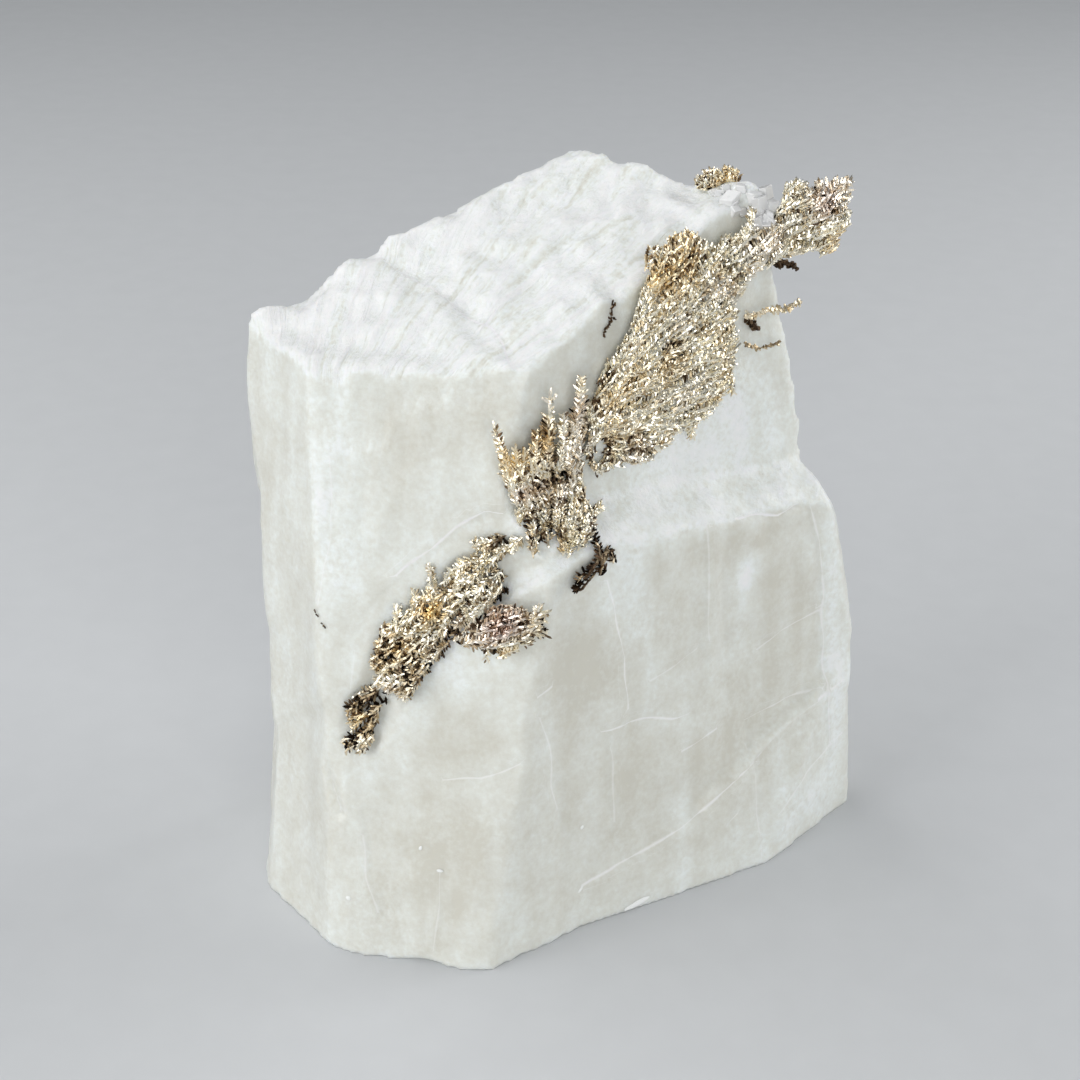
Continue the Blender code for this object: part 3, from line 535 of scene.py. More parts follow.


# ------------------------------------------------------------------------------------------ the silver

# Each growth lies along a face and is drawn on it in millimetres from its origin. Its outline bounds it, and
# gaps go through it. Its branches are slim fingers that reach beyond the outline, and the main ribs on it:
# the points that each follows, and how far its barbs reach to either side at its root and at its tip. Its
# fronds spread from its root, each so long and half so wide, and lift is how far its far end stands up.
# Mounds (place, radius, height) raise its surface. Its shade is its tarnish, from bright (0 and below) to
# near-black (1), and tints (place, radius, darker by, yellower by) colour patches of it; those that darken
# its hollows and crevices, and a shaded side, are painted shade.
GROWTHS = {
    "silver_leaf": dict(
        face=(-56.5, 6.0), origin=(4.0, -4.2, 37.5), root=(-5.0, -2.4), clings=False, lift=0.3,
        frond=(1.8, 0.40), shade=-0.15,
        outline=(
            (0.1, 2.1), (1.2, 3.6), (2.5, 5.1), (3.5, 7.0), (4.2, 8.6), (4.2, 10.0), (4.6, 10.9),
            (5.9, 10.7), (6.6, 11.3), (8.1, 11.3), (9.1, 10.4), (9.5, 9.0), (11.3, 7.1), (12.3, 6.6),
            (11.6, 5.6), (11.4, 4.2), (11.5, 2.8), (11.3, 1.2), (10.6, -0.3), (9.2, -1.3), (8.9, -2.1),
            (7.6, -2.6), (6.1, -2.7), (5.3, -3.7), (3.4, -4.0), (1.3, -3.7), (-0.9, -4.1), (-1.3, -2.7),
            (-1.1, -0.8), (-0.6, 0.7),
        ),
        gaps=(
            ((-0.5, -2.9), (-0.1, -2.2), (0.5, -1.6), (0.9, -2.2), (0.7, -2.9), (0.0, -3.3)),
            ((6.2, 2.3), (6.8, 3.2), (7.0, 2.9), (6.5, 2.1)),
            ((5.2, 3.6), (5.6, 4.5), (5.9, 4.3), (5.5, 3.5)),
        ),
        branches=(
            (((11.1, 1.2), (11.1, -0.8)), 0.25, 0.1), (((7.5, -2.3), (7.6, -3.2)), 0.2, 0.1),
            (((-0.9, -1.3), (2.5, -1.4), (6.0, -1.0), (9.4, -0.4)), 0.5, 0.25),
            (((-0.8, -0.9), (3.0, -0.4), (7.0, 0.4), (10.6, 1.4)), 0.5, 0.25),
            (((-0.5, -0.3), (3.0, 1.2), (6.5, 2.2), (10.8, 3.4)), 0.5, 0.25),
            (((1.0, -1.6), (2.6, -2.6), (5.2, -3.2)), 0.35, 0.15),
            (((0.4, 0.9), (2.6, 2.8), (5.0, 4.2), (9.0, 6.2)), 0.5, 0.25),
            (((1.6, 3.0), (3.4, 5.2), (4.6, 7.4), (5.2, 9.4)), 0.4, 0.2),
            (((4.2, 4.6), (6.0, 6.6), (7.2, 8.8), (8.2, 10.6)), 0.4, 0.2),
        ),
        mounds=(
            (6.5, 9.2, 2.2, 0.5), (8.8, 5.5, 2.6, 0.4), (4.0, 5.0, 1.8, 0.3), (6.0, 2.6, 1.2, -0.5),
            (1.0, -2.1, 1.1, -1.1), (3.2, -2.0, 0.9, -0.6), (7.5, -0.6, 2.0, 0.3),
        ),
        # the three that darken its hollows, at (1.0, -2.1), (3.2, -2.2) and (6.0, 2.8), are painted shade
        tints=(
            (4.9, 9.2, 1.5, 0.24, 0.7), (7.0, 9.6, 1.8, 0.16, 0.35), (1.0, -2.1, 1.3, 0.55, 0.1),
            (3.2, -2.2, 1.2, 0.35, -0.3), (6.0, 2.8, 1.2, 0.25, 0.4), (2.0, 2.0, 1.8, 0.05, 0.5),
        ),
    ),
    "silver_crest": dict(
        face=(-56.5, 6.0), origin=(13.6, 3.1, 45.7), root=(-7.0, -5.0), clings=False, lift=0.5,
        frond=(1.3, 0.42), shade=-0.25,
        outline=(
            (-3.6, 0.2), (-2.5, 0.6), (-2.1, 1.8), (-0.8, 2.1), (0.3, 1.9), (1.6, 2.1), (3.0, 2.5),
            (3.7, 3.7), (4.0, 4.7), (5.3, 5.0), (5.8, 4.2), (6.6, 4.9), (7.2, 4.0), (7.8, 4.4), (9.5, 3.6),
            (9.4, 2.9), (8.8, 2.5), (9.2, 1.6), (9.0, 0.9), (8.2, 0.5), (8.6, -0.6), (7.5, -0.9),
            (6.1, -0.2), (4.8, -0.3), (2.9, -0.5), (1.6, -0.7), (0.7, -1.7), (-0.9, -1.6), (-2.2, -2.0),
        ),
        branches=(
            (((0.4, 1.8), (0.8, 2.8), (1.2, 3.8)), 0.3, 0.1),
            (((7.2, 3.8), (8.6, 4.2), (9.7, 4.0)), 0.45, 0.2),
        ),
        mounds=(
            (6.3, 3.0, 1.8, 0.7), (8.3, 1.6, 1.2, 0.5), (2.2, 0.8, 1.5, 0.3), (5.4, 1.0, 1.0, -0.4),
        ),
        tints=(
            (6.6, 3.2, 1.3, 0.12, -0.7), (8.0, 0.0, 1.2, 0.0, 0.3), (-2.0, -0.6, 1.6, 0.0, 0.4),
        ),
    ),
    "silver_fan": dict(
        face=(-88.0, 8.0), origin=(0.7, -6.9, 31.3), root=(0.2, -9.0), clings=True, lift=0.9,
        frond=(1.7, 0.34), shade=-0.03,
        outline=(
            (-3.5, 4.9), (-2.9, 4.2), (-2.4, 4.6), (-1.6, 4.4), (-1.1, 5.2), (-0.5, 5.6), (0.3, 5.0),
            (0.8, 5.6), (1.2, 5.4), (1.5, 6.4), (2.0, 7.0), (2.5, 6.2), (2.2, 4.8), (2.3, 2.9), (2.5, 0.8),
            (2.9, 0.1), (3.1, -0.7), (2.3, -1.9), (0.9, -2.2), (0.2, -1.6), (-0.6, -1.2), (-1.2, -1.7),
            (-1.9, -1.2), (-1.9, -0.2), (-2.4, 0.9), (-2.6, 2.0), (-3.1, 3.3), (-3.4, 4.2),
        ),
        branches=(
            (((-2.6, 3.1), (-3.1, 5.2), (-3.5, 6.5), (-3.8, 7.5)), 0.45, 0.05),
            (((-2.4, 3.6), (-2.3, 5.0), (-2.3, 5.9)), 0.3, 0.05),
            (((-1.9, 4.0), (-1.7, 4.9), (-1.8, 5.7)), 0.3, 0.05),
            (((-0.3, 4.2), (-0.1, 6.5), (-0.1, 7.6)), 0.65, 0.25),
            (((-1.1, 4.6), (-0.9, 5.9), (-0.9, 6.8)), 0.4, 0.08),
            (((-0.1, 7.2), (0.0, 8.5), (0.0, 9.4)), 0.1, 0.05), (((0.0, 8.6), (-0.5, 8.9)), 0.05, 0.05),
            (((0.0, 8.5), (0.4, 8.9)), 0.05, 0.05), (((0.9, 4.9), (0.9, 6.5), (0.9, 7.6)), 0.4, 0.08),
            (((1.6, 4.8), (2.0, 7.7), (2.1, 9.8)), 0.85, 0.1),
            (((2.3, -0.4), (2.9, 0.0), (3.6, 0.2)), 0.35, 0.1),
        ),
        mounds=(
            (1.6, 4.2, 1.2, 0.6), (-0.8, 4.2, 1.2, 0.4), (0.5, 2.7, 0.6, -0.6), (1.0, 0.4, 1.4, 0.6),
            (-0.3, -0.6, 0.7, -0.8), (2.6, -0.6, 0.8, 0.4),
        ),
        # the four that darken its middle, along the hollow there, and the one by the hollow near its foot
        # are painted shade in crevices
        tints=(
            (1.4, 2.8, 0.6, 0.5, 0.0), (0.4, 2.7, 0.6, 0.5, 0.0), (-0.7, 2.6, 0.6, 0.45, -0.4),
            (-2.0, 2.3, 0.7, 0.3, -0.6), (2.6, 5.6, 0.5, 0.5, 0.0), (2.6, 4.4, 0.5, 0.5, 0.0),
            (2.6, 3.1, 0.5, 0.5, 0.0), (-2.7, 4.4, 1.3, 0.10, 0.6), (-0.2, 6.0, 1.0, 0.20, 0.5),
            (2.0, 8.0, 1.4, 0.25, -0.3), (1.8, 1.0, 0.9, 0.0, 0.3), (0.2, -1.4, 0.7, 0.3, 0.0),
        ),
    ),
    "silver_mat": dict(
        face=(-100.0, 14.0), origin=(-6.1, -9.4, 25.8), root=(7.5, 9.0), clings=True, lift=0.2,
        frond=(1.1, 0.40), shade=-0.10,
        outline=(
            (4.9, 5.2), (3.4, 5.6), (2.4, 5.3), (1.4, 5.0), (1.7, 4.3), (0.5, 3.6), (-0.3, 2.7),
            (-0.7, 1.6), (-1.5, 1.0), (-2.5, 0.6), (-2.8, -0.2), (-3.5, -0.6), (-4.4, -1.6), (-5.0, -2.5),
            (-5.4, -4.1), (-5.2, -5.9), (-4.0, -6.6), (-2.3, -6.8), (-2.0, -6.2), (-1.7, -4.9),
            (-0.8, -4.0), (0.0, -3.0), (0.2, -2.1), (1.0, -1.6), (1.5, -1.0), (2.5, 0.3), (3.2, 1.0),
            (4.2, 1.5), (4.0, 2.3), (3.2, 3.1), (3.7, 4.0), (4.6, 4.6),
        ),
        branches=(
            (((-1.3, 0.2), (-1.2, 1.3), (-1.6, 3.0)), 0.35, 0.08), (((-1.5, 2.6), (-1.1, 2.7)), 0.08, 0.05),
            (((-1.8, 0.3), (-1.4, 1.3)), 0.3, 0.1), (((-2.4, -0.3), (-2.3, 0.5), (-2.5, 1.2)), 0.3, 0.06),
            (((-3.5, -1.4), (-3.5, -0.9), (-3.6, 0.0)), 0.35, 0.08),
            (((-4.5, -2.5), (-4.4, -1.2)), 0.25, 0.06), (((1.9, 4.5), (1.5, 4.8), (1.3, 5.0)), 0.25, 0.1),
        ),
        mounds=(
            (1.3, 2.0, 2.0, 0.9), (-1.6, -0.6, 1.4, 0.7), (-3.3, -2.6, 1.9, 1.1), (-3.2, -5.2, 1.6, 0.8),
            (2.6, 4.8, 1.0, 0.2), (2.6, 1.4, 1.0, 0.6),
        ),
        # the darker ones along its lower right edge, from (0.6, -1.4) down to (-2.6, -6.2), are painted
        # shade on its shaded side wall
        tints=(
            (-1.3, -0.3, 0.9, 0.10, 1.0), (1.6, 2.2, 1.9, -0.22, 0.15), (-3.6, -3.4, 1.7, 0.30, 0.5),
            (-0.4, -2.6, 1.1, 0.7, -0.1), (0.6, -1.4, 0.9, 0.6, -0.1), (-1.6, -4.6, 1.1, 0.7, 0.0),
            (-2.6, -6.2, 1.1, 0.6, 0.0), (-4.9, -4.6, 1.0, 0.4, 0.2), (3.0, 5.0, 1.2, 0.4, 0.0),
            (3.8, 1.8, 0.9, 0.5, 0.0), (3.4, 0.6, 0.8, 0.4, 0.0),
        ),
    ),
    "silver_wing": dict(
        face=(-80.0, 4.0), origin=(-5.0, -12.3, 25.2), root=(-4.0, -1.0), clings=False, lift=0.2,
        frond=(1.8, 0.28), shade=0.18,
        outline=(
            (-0.9, -0.1), (0.3, 0.8), (1.0, 1.9), (2.6, 2.2), (3.7, 1.8), (4.5, 1.4), (4.9, 0.8),
            (5.6, -0.1), (4.7, -0.7), (3.6, -1.0), (2.5, -1.6), (1.4, -1.3), (0.3, -1.0), (-0.4, -0.4),
        ),
        branches=(
            (((4.5, 0.4), (4.8, 1.2), (5.0, 2.3)), 0.2, 0.08),
            (((4.8, 1.3), (5.3, 1.7), (5.7, 1.5)), 0.15, 0.08), (((4.6, 0.9), (5.5, 1.0)), 0.2, 0.06),
            (((1.4, -1.2), (1.5, -1.6)), 0.1, 0.05),
        ),
        mounds=((2.2, 0.2, 1.6, 0.3),),
        tints=(
            (2.4, 1.0, 1.5, 0.12, -0.9), (2.6, -1.0, 1.0, -0.2, 0.4), (0.4, 0.0, 0.8, 0.1, 0.0),
        ),
    ),
    "silver_tail": dict(
        face=(-104.0, 14.0), origin=(-12.1, -10.3, 17.5), root=(4.5, 5.0), clings=True, lift=0.3,
        frond=(1.2, 0.30), shade=0.46,
        outline=(
            (0.4, 2.5), (-0.4, 2.1), (-1.3, 1.1), (-1.4, 0.0), (-1.0, -1.0), (-1.6, -1.8), (-1.3, -2.6),
            (-1.1, -3.1), (-0.4, -2.6), (0.5, -2.1), (0.9, -0.5), (0.8, 0.6), (1.5, 1.2), (2.0, 1.5),
            (1.7, 1.9), (0.9, 2.5),
        ),
        branches=(), mounds=((0.0, 1.0, 1.0, 0.5), (-0.4, -1.9, 0.9, 0.4), (0.0, -0.4, 0.5, -0.3)),
        tints=(
            (-0.6, -0.2, 0.7, -0.25, 0.6), (0.1, -1.6, 0.6, -0.4, 0.0), (0.3, -1.0, 0.4, 0.4, 0.0),
        ),
    ),
    "silver_dark_leaf": dict(
        face=(-70.0, 8.0), origin=(3.45, -6.25, 28.3), root=(3.0, 3.0), clings=True, lift=0.3,
        frond=(1.4, 0.24), shade=0.86,
        outline=(
            (-2.4, -0.9), (-2.0, -1.6), (-0.5, -0.7), (0.4, -0.8), (1.0, 0.2), (0.3, 0.6), (-0.5, 0.3),
            (-1.3, 0.3), (-2.1, -0.3),
        ),
        branches=(
            (((0.3, 0.0), (0.6, 0.6), (1.1, 0.6)), 0.25, 0.1),
            (((0.1, 0.2), (0.0, 1.4), (0.1, 2.8)), 0.22, 0.12),
            (((0.8, 0.6), (1.2, 0.1), (0.9, -0.3)), 0.1, 0.08),
        ),
        mounds=(), tints=((0.7, 0.2, 0.4, -0.2, 0.0),),
    ),
    "silver_tuft": dict(
        face=(-56.5, 6.0), origin=(12.6, 8.0, 49.4), root=(1.2, -3.0), clings=False, lift=0.0,
        frond=(0.9, 0.35), shade=0.18,
        outline=(
            (-1.6, 0.0), (-1.7, 0.9), (-0.6, 1.5), (0.1, 0.9), (0.7, 1.3), (1.9, 0.8), (1.2, -0.6),
            (0.2, -0.8),
        ),
        branches=(), mounds=((0.0, 0.4, 1.0, 0.5),), tints=((0.0, 0.5, 2.0, -0.05, 0.3),), pitch=0.36,
    ),
}
GAP = 0.12  # between the lowest crystals and the calcite
CLINGING_DEPTH = 0.25  # of a clinging growth's surface above that
LEAF_THICKNESS = 0.6  # of a growth that stands free of the stone
STONE_IN_FRONT, STONE_BEHIND = 20.0, 4.0  # how far the stone is looked for to either side of a growth's face
SLOPE_STEP = 0.3  # the stretch over which its slope is measured

# Fronds, and the grains along their stems and barbs: how far apart they are, how much a frond's tip stands
# above its root, and the barbs' angle and how far that strays, in degrees.
FROND_PITCH, STEM_PITCH, BARB_PITCH = 0.66, 0.20, 0.20
FROND_TILT = 0.30
BARB_ANGLE, BARB_STRAY = 52.0, 12.0
PIVOT = 0.35  # the share of its length up to which a tilted stem lies below the growth's surface

# A branch is grown twice, with its tip a little up, and again with its tip down and less wide, as its back.
BRANCH_TILT, BRANCH_BACK_TILT, BRANCH_BACK_WIDTH = 0.1, -0.3, 0.6

# Shares of its length and width that a frond has at least and at most, its width at its tip, and how far it
# strays from the way it should point, in radians.
FROND_LENGTHS, FROND_WIDTHS, FROND_TIP, FROND_STRAY = (0.6, 1.25), (0.7, 1.3), 0.08, 0.2

# The grains along a stem stand a little proud of it and are painted brighter, as lit from above, and stray
# from its direction, in radians.
STEM_PROUD, STEM_PAINTED_LIGHT, STEM_STRAY = 0.05, 0.08, 0.45

# Those of a barb lie lower with each one outwards, with a scatter of their height, and dip, and each one is
# painted darker, as the shade that it sinks into. The barb has at least and at most these shares of its
# length.
BARB_SINK, BARB_PAINTED_SHADE, BARB_SCATTER, BARB_DIP = 0.07, 0.10, 0.05, 0.2
BARB_LENGTHS = (0.7, 1.4)

# The grains below the fronds, painted dark as the shade beneath them: how far apart, how deep the first
# layer lies, how deep each layer is, and how far in from the outline they start.
BED_PITCH, BED_DEPTH, BED_LAYER, BED_MARGIN = 0.40, 0.32, 0.40, 0.3

# A grain's length and width, and the shares of them that it has at least and at most.
GRAIN = (0.56, 0.19)
STEM_GRAINS, BARB_GRAINS, BED_GRAINS = (0.85, 1.2), (0.7, 1.15), (0.95, 1.3)

# Ribs run out from a growth's root, higher than the furrows between them, and change along their length more
# slowly than from one to the next. The ribs are painted brighter, as lit, and the furrows darker, as shade.
RIBS_PER_MM, RIB_CHANGES_PER_MM, RIB_HEIGHT, RIB_PAINTED_SHADE = 1.4, 0.25, 0.18, 0.60
RIB_SEED = 30.0

# Layers of noise over a growth, as in the stone: its surface, tarnish, hue and its fronds' directions.
LIE, TARNISH, HUE, SWAY = (0.30, 0.55, 0.0), (0.26, 0.5, 9.0), (0.4, 0.35, 17.0), (0.55, 0.45, 3.0)

# Single grains differ in tarnish by as much as this; a share of them is painted darker by more, as the shade
# in the gaps between their bright neighbours, and the rest is brightened to make up for it. The bed is
# painted darker still, as the shade under the fronds.
TARNISH_SPREAD, DARK_SHARE, GAP_PAINTED_SHADE, BRIGHTENED, BED_PAINTED_SHADE = 0.16, 0.22, 0.60, 0.15, 0.7


def inside(outline, a, b):
    """Whether the place lies inside the outline."""
    odd = False
    for (a0, b0), (a1, b1) in zip(outline, outline[1:] + outline[:1]):
        if (b0 > b) != (b1 > b) and a < a0 + (b - b0) / (b1 - b0) * (a1 - a0):
            odd = not odd
    return odd


class Growth:
    """One growth of silver: it turns places on its face into places above the stone, and collects grains."""

    def __init__(self, name, shape, stone, back=False):
        self.rng = random.Random(name + (" back" if back else ""))
        self.shape, self.stone, self.back = shape, stone, back
        self.out = facing(*shape["face"])
        self.right = along(shape["face"][0])
        self.up = self.out.cross(self.right)
        self.origin = Vector(shape["origin"])
        self.seed = random.Random(name).uniform(0.0, 100.0)
        self.reach = max(math.dist(shape["root"], point) for point in shape["outline"])
        self.rows = []

    def within(self, a, b):
        """Whether the point lies inside the outline, and not in a gap through the growth."""
        in_gap = any(inside(gap, a, b) for gap in self.shape.get("gaps", ()))
        return inside(self.shape["outline"], a, b) and not in_gap

    def wave(self, a, b, layer):
        """A layer of noise over the growth's face."""
        strength, per_mm, seed = layer
        return strength * noise.noise(Vector((a * per_mm, b * per_mm, self.seed + seed)))

    def ribs(self, a, b):
        """Ribs that run out from the root: above 0 on them, below 0 in the furrows between."""
        away_a, away_b = a - self.shape["root"][0], b - self.shape["root"][1]
        across = math.atan2(away_b, away_a) * self.reach * RIBS_PER_MM
        outwards = math.hypot(away_a, away_b) * RIB_CHANGES_PER_MM
        return noise.noise(Vector((across, outwards, self.seed + RIB_SEED)))

    def height(self, a, b):
        """How far the growth's surface stands above its face."""
        from_root = math.dist(self.shape["root"], (a, b)) / self.reach
        h = self.shape["lift"] * from_root ** 2 + RIB_HEIGHT * self.ribs(a, b) + self.wave(a, b, LIE)
        for ma, mb, radius, rise in self.shape["mounds"]:
            h += rise * math.exp(-((a - ma) ** 2 + (b - mb) ** 2) / radius ** 2)
        return h

    def place(self, a, b, above):
        """The place that far above the growth's surface, or below its back, and never in the stone."""
        p = self.origin + self.right * a + self.up * b
        if self.shape["clings"]:
            start, reach = p + self.out * STONE_IN_FRONT, STONE_IN_FRONT + STONE_BEHIND
            hit, *_ = self.stone.ray_cast(start, -self.out, reach)
            p = (hit or p) + self.out * (GAP + CLINGING_DEPTH)
        h = self.height(a, b)
        p = p + self.out * (h - LEAF_THICKNESS - above if self.back else h + above)
        near, normal, _, distance = self.stone.find_nearest(p)
        if (p - near).dot(normal) < 0.0:
            return near + normal * GAP
        return near + (p - near).normalized() * GAP if distance < GAP else p

    def slope(self, a, b):
        """How steeply the growth's surface rises along its face and up it."""
        here = self.height(a, b)
        further, higher = self.height(a + SLOPE_STEP, b), self.height(a, b + SLOPE_STEP)
        return (further - here) / SLOPE_STEP, (higher - here) / SLOPE_STEP

    def tone(self, a, b):
        """How dark the silver is there, from its tarnish and from painted shade in the furrows between its
        ribs and in its hollows, and how yellow (above 0) or pink (below 0).
        """
        dark = self.shape["shade"] - BRIGHTENED - RIB_PAINTED_SHADE * self.ribs(a, b) + self.wave(a, b, TARNISH)
        yellow = self.wave(a, b, HUE)
        for ta, tb, radius, darker, yellower in self.shape["tints"]:
            weight = math.exp(-((a - ta) ** 2 + (b - tb) ** 2) / radius ** 2)
            dark += darker * weight
            yellow += yellower * weight
        return dark, yellow

    def add_grain(self, a, b, above, turn, climb, size, darker=0.0):
        """A grain that points along its turn, rises by its climb and lies flat on the growth's surface."""
        sa, sb = self.slope(a, b)
        sign = -1.0 if self.back else 1.0
        flat = self.right * math.cos(turn) + self.up * math.sin(turn)
        rise = sa * math.cos(turn) + sb * math.sin(turn) + sign * climb
        heading = (flat + self.out * rise).normalized()
        face = sign * (self.out - self.right * sa - self.up * sb).normalized()
        dark, yellow = self.tone(a, b)
        dark += darker + self.rng.uniform(-TARNISH_SPREAD, TARNISH_SPREAD)
        dark += GAP_PAINTED_SHADE if self.rng.random() < DARK_SHARE else 0.0
        place, (length, width) = self.place(a, b, above), GRAIN
        self.rows.append((*place, *heading, *face, length * size, width * size, dark, yellow))

    def add_branch(self, path, root_width, tip_width, tilt, clip):
        """A stem of grains with barbs that change in length to its tip; clip ends them at the outline."""
        rng = self.rng
        total, done = sum(math.dist(p, q) for p, q in zip(path, path[1:])), 0.0
        for p, q in zip(path, path[1:]):
            run, turn = math.dist(p, q), math.atan2(q[1] - p[1], q[0] - p[0])
            for i in range(max(1, round(run / STEM_PITCH))):
                s = i * STEM_PITCH
                t = min(1.0, (done + s) / total)
                a, b = p[0] + s * math.cos(turn), p[1] + s * math.sin(turn)
                if clip and not self.within(a, b):
                    return
                above = tilt * (t - PIVOT)
                heading, size = turn + rng.uniform(-STEM_STRAY, STEM_STRAY), rng.uniform(*STEM_GRAINS)
                self.add_grain(a, b, above + STEM_PROUD, heading, tilt / total, size, -STEM_PAINTED_LIGHT)
                self.add_barbs(a, b, above, turn, root_width + (tip_width - root_width) * t, clip)
            done += run

    def add_barbs(self, a, b, above, turn, width, clip):
        """A barb to either side of a stem, its grains lower, and painted darker as shade, the farther out
        they are.
        """
        rng = self.rng
        for side in (-1.0, 1.0):
            barb = turn + side * math.radians(BARB_ANGLE + rng.uniform(-BARB_STRAY, BARB_STRAY))
            grains = int(rng.uniform(*BARB_LENGTHS) * width / BARB_PITCH + 0.5)
            for k in range(1, 1 + grains):
                ba, bb = a + k * BARB_PITCH * math.cos(barb), b + k * BARB_PITCH * math.sin(barb)
                if clip and not self.within(ba, bb):
                    break
                lower = above - BARB_SINK * k + rng.uniform(-BARB_SCATTER, BARB_SCATTER)
                self.add_grain(ba, bb, lower, barb, -BARB_DIP, rng.uniform(*BARB_GRAINS), BARB_PAINTED_SHADE * k)

    def cells(self, pitch):
        """Scattered places, one to a cell, all over the outline's box."""
        outline = self.shape["outline"]
        low_a, low_b = min(a for a, _ in outline), min(b for _, b in outline)
        high_a, high_b = max(a for a, _ in outline), max(b for _, b in outline)
        for i in range(int((high_a - low_a) / pitch) + 1):
            for j in range(int((high_b - low_b) / pitch) + 1):
                a = low_a + (i + self.rng.random()) * pitch
                b = low_b + (j + self.rng.random()) * pitch
                if self.within(a, b):
                    yield a, b

    def add_bed(self):
        """Grains under the fronds, painted dark as the shade beneath them, down to the stone where the
        growth clings to it.
        """
        nearby = ((BED_MARGIN, 0.0), (-BED_MARGIN, 0.0), (0.0, BED_MARGIN), (0.0, -BED_MARGIN))
        for a, b in self.cells(BED_PITCH):
            if not all(self.within(a + da, b + db) for da, db in nearby):
                continue
            layers = 1 + int(max(0.0, self.height(a, b)) / BED_LAYER) if self.shape["clings"] else 1
            for layer in range(layers):
                turn, size = self.rng.uniform(0.0, math.pi), self.rng.uniform(*BED_GRAINS)
                self.add_grain(a, b, -BED_DEPTH - layer * BED_LAYER, turn, 0.0, size, BED_PAINTED_SHADE)

    def add_fronds(self):
        """Short branches all over the growth, that point away from its root."""
        root_a, root_b = self.shape["root"]
        length, width = self.shape["frond"]
        for a, b in self.cells(self.shape.get("pitch", FROND_PITCH)):
            turn = math.atan2(b - root_b, a - root_a)
            turn += self.wave(a, b, SWAY) + self.rng.uniform(-FROND_STRAY, FROND_STRAY)
            reach = length * self.rng.uniform(*FROND_LENGTHS)
            tip = (a + reach * math.cos(turn), b + reach * math.sin(turn))
            half = width * self.rng.uniform(*FROND_WIDTHS)
            self.add_branch(((a, b), tip), half, FROND_TIP, FROND_TILT, True)

    def grow(self):
        """All the growth's grains."""
        self.add_bed()
        self.add_fronds()
        if not self.back:
            for path, root_width, tip_width in self.shape["branches"]:
                self.add_branch(path, root_width, tip_width, BRANCH_TILT, False)
                back_width = root_width * BRANCH_BACK_WIDTH
                self.add_branch(path, back_width, tip_width, BRANCH_BACK_TILT, False)
        return self.rows


# The form of a grain: its sides and rings, and how far it's rolled about its length, in radians.
GRAIN_FORM = {"Sides": 4, "Rings": 3, "Roll": 0.9, "Seed": 7}


def grain_mesh(name, rows):
    """Points, each with the way its grain points and faces, its size and its tone."""
    table = np.array(rows, dtype=np.float32)
    mesh = bpy.data.meshes.new(name)
    mesh.vertices.add(len(table))
    mesh.vertices.foreach_set("co", table[:, :3].ravel())
    for label, columns in (("heading", slice(3, 6)), ("face", slice(6, 9))):
        attribute = mesh.attributes.new(label, "FLOAT_VECTOR", "POINT")
        attribute.data.foreach_set("vector", np.ascontiguousarray(table[:, columns]).ravel())
    for label, column in (("length", 9), ("width", 10), ("tarnish_and_shade", 11), ("yellow", 12)):
        attribute = mesh.attributes.new(label, "FLOAT", "POINT")
        attribute.data.foreach_set("value", np.ascontiguousarray(table[:, column]))
    return mesh


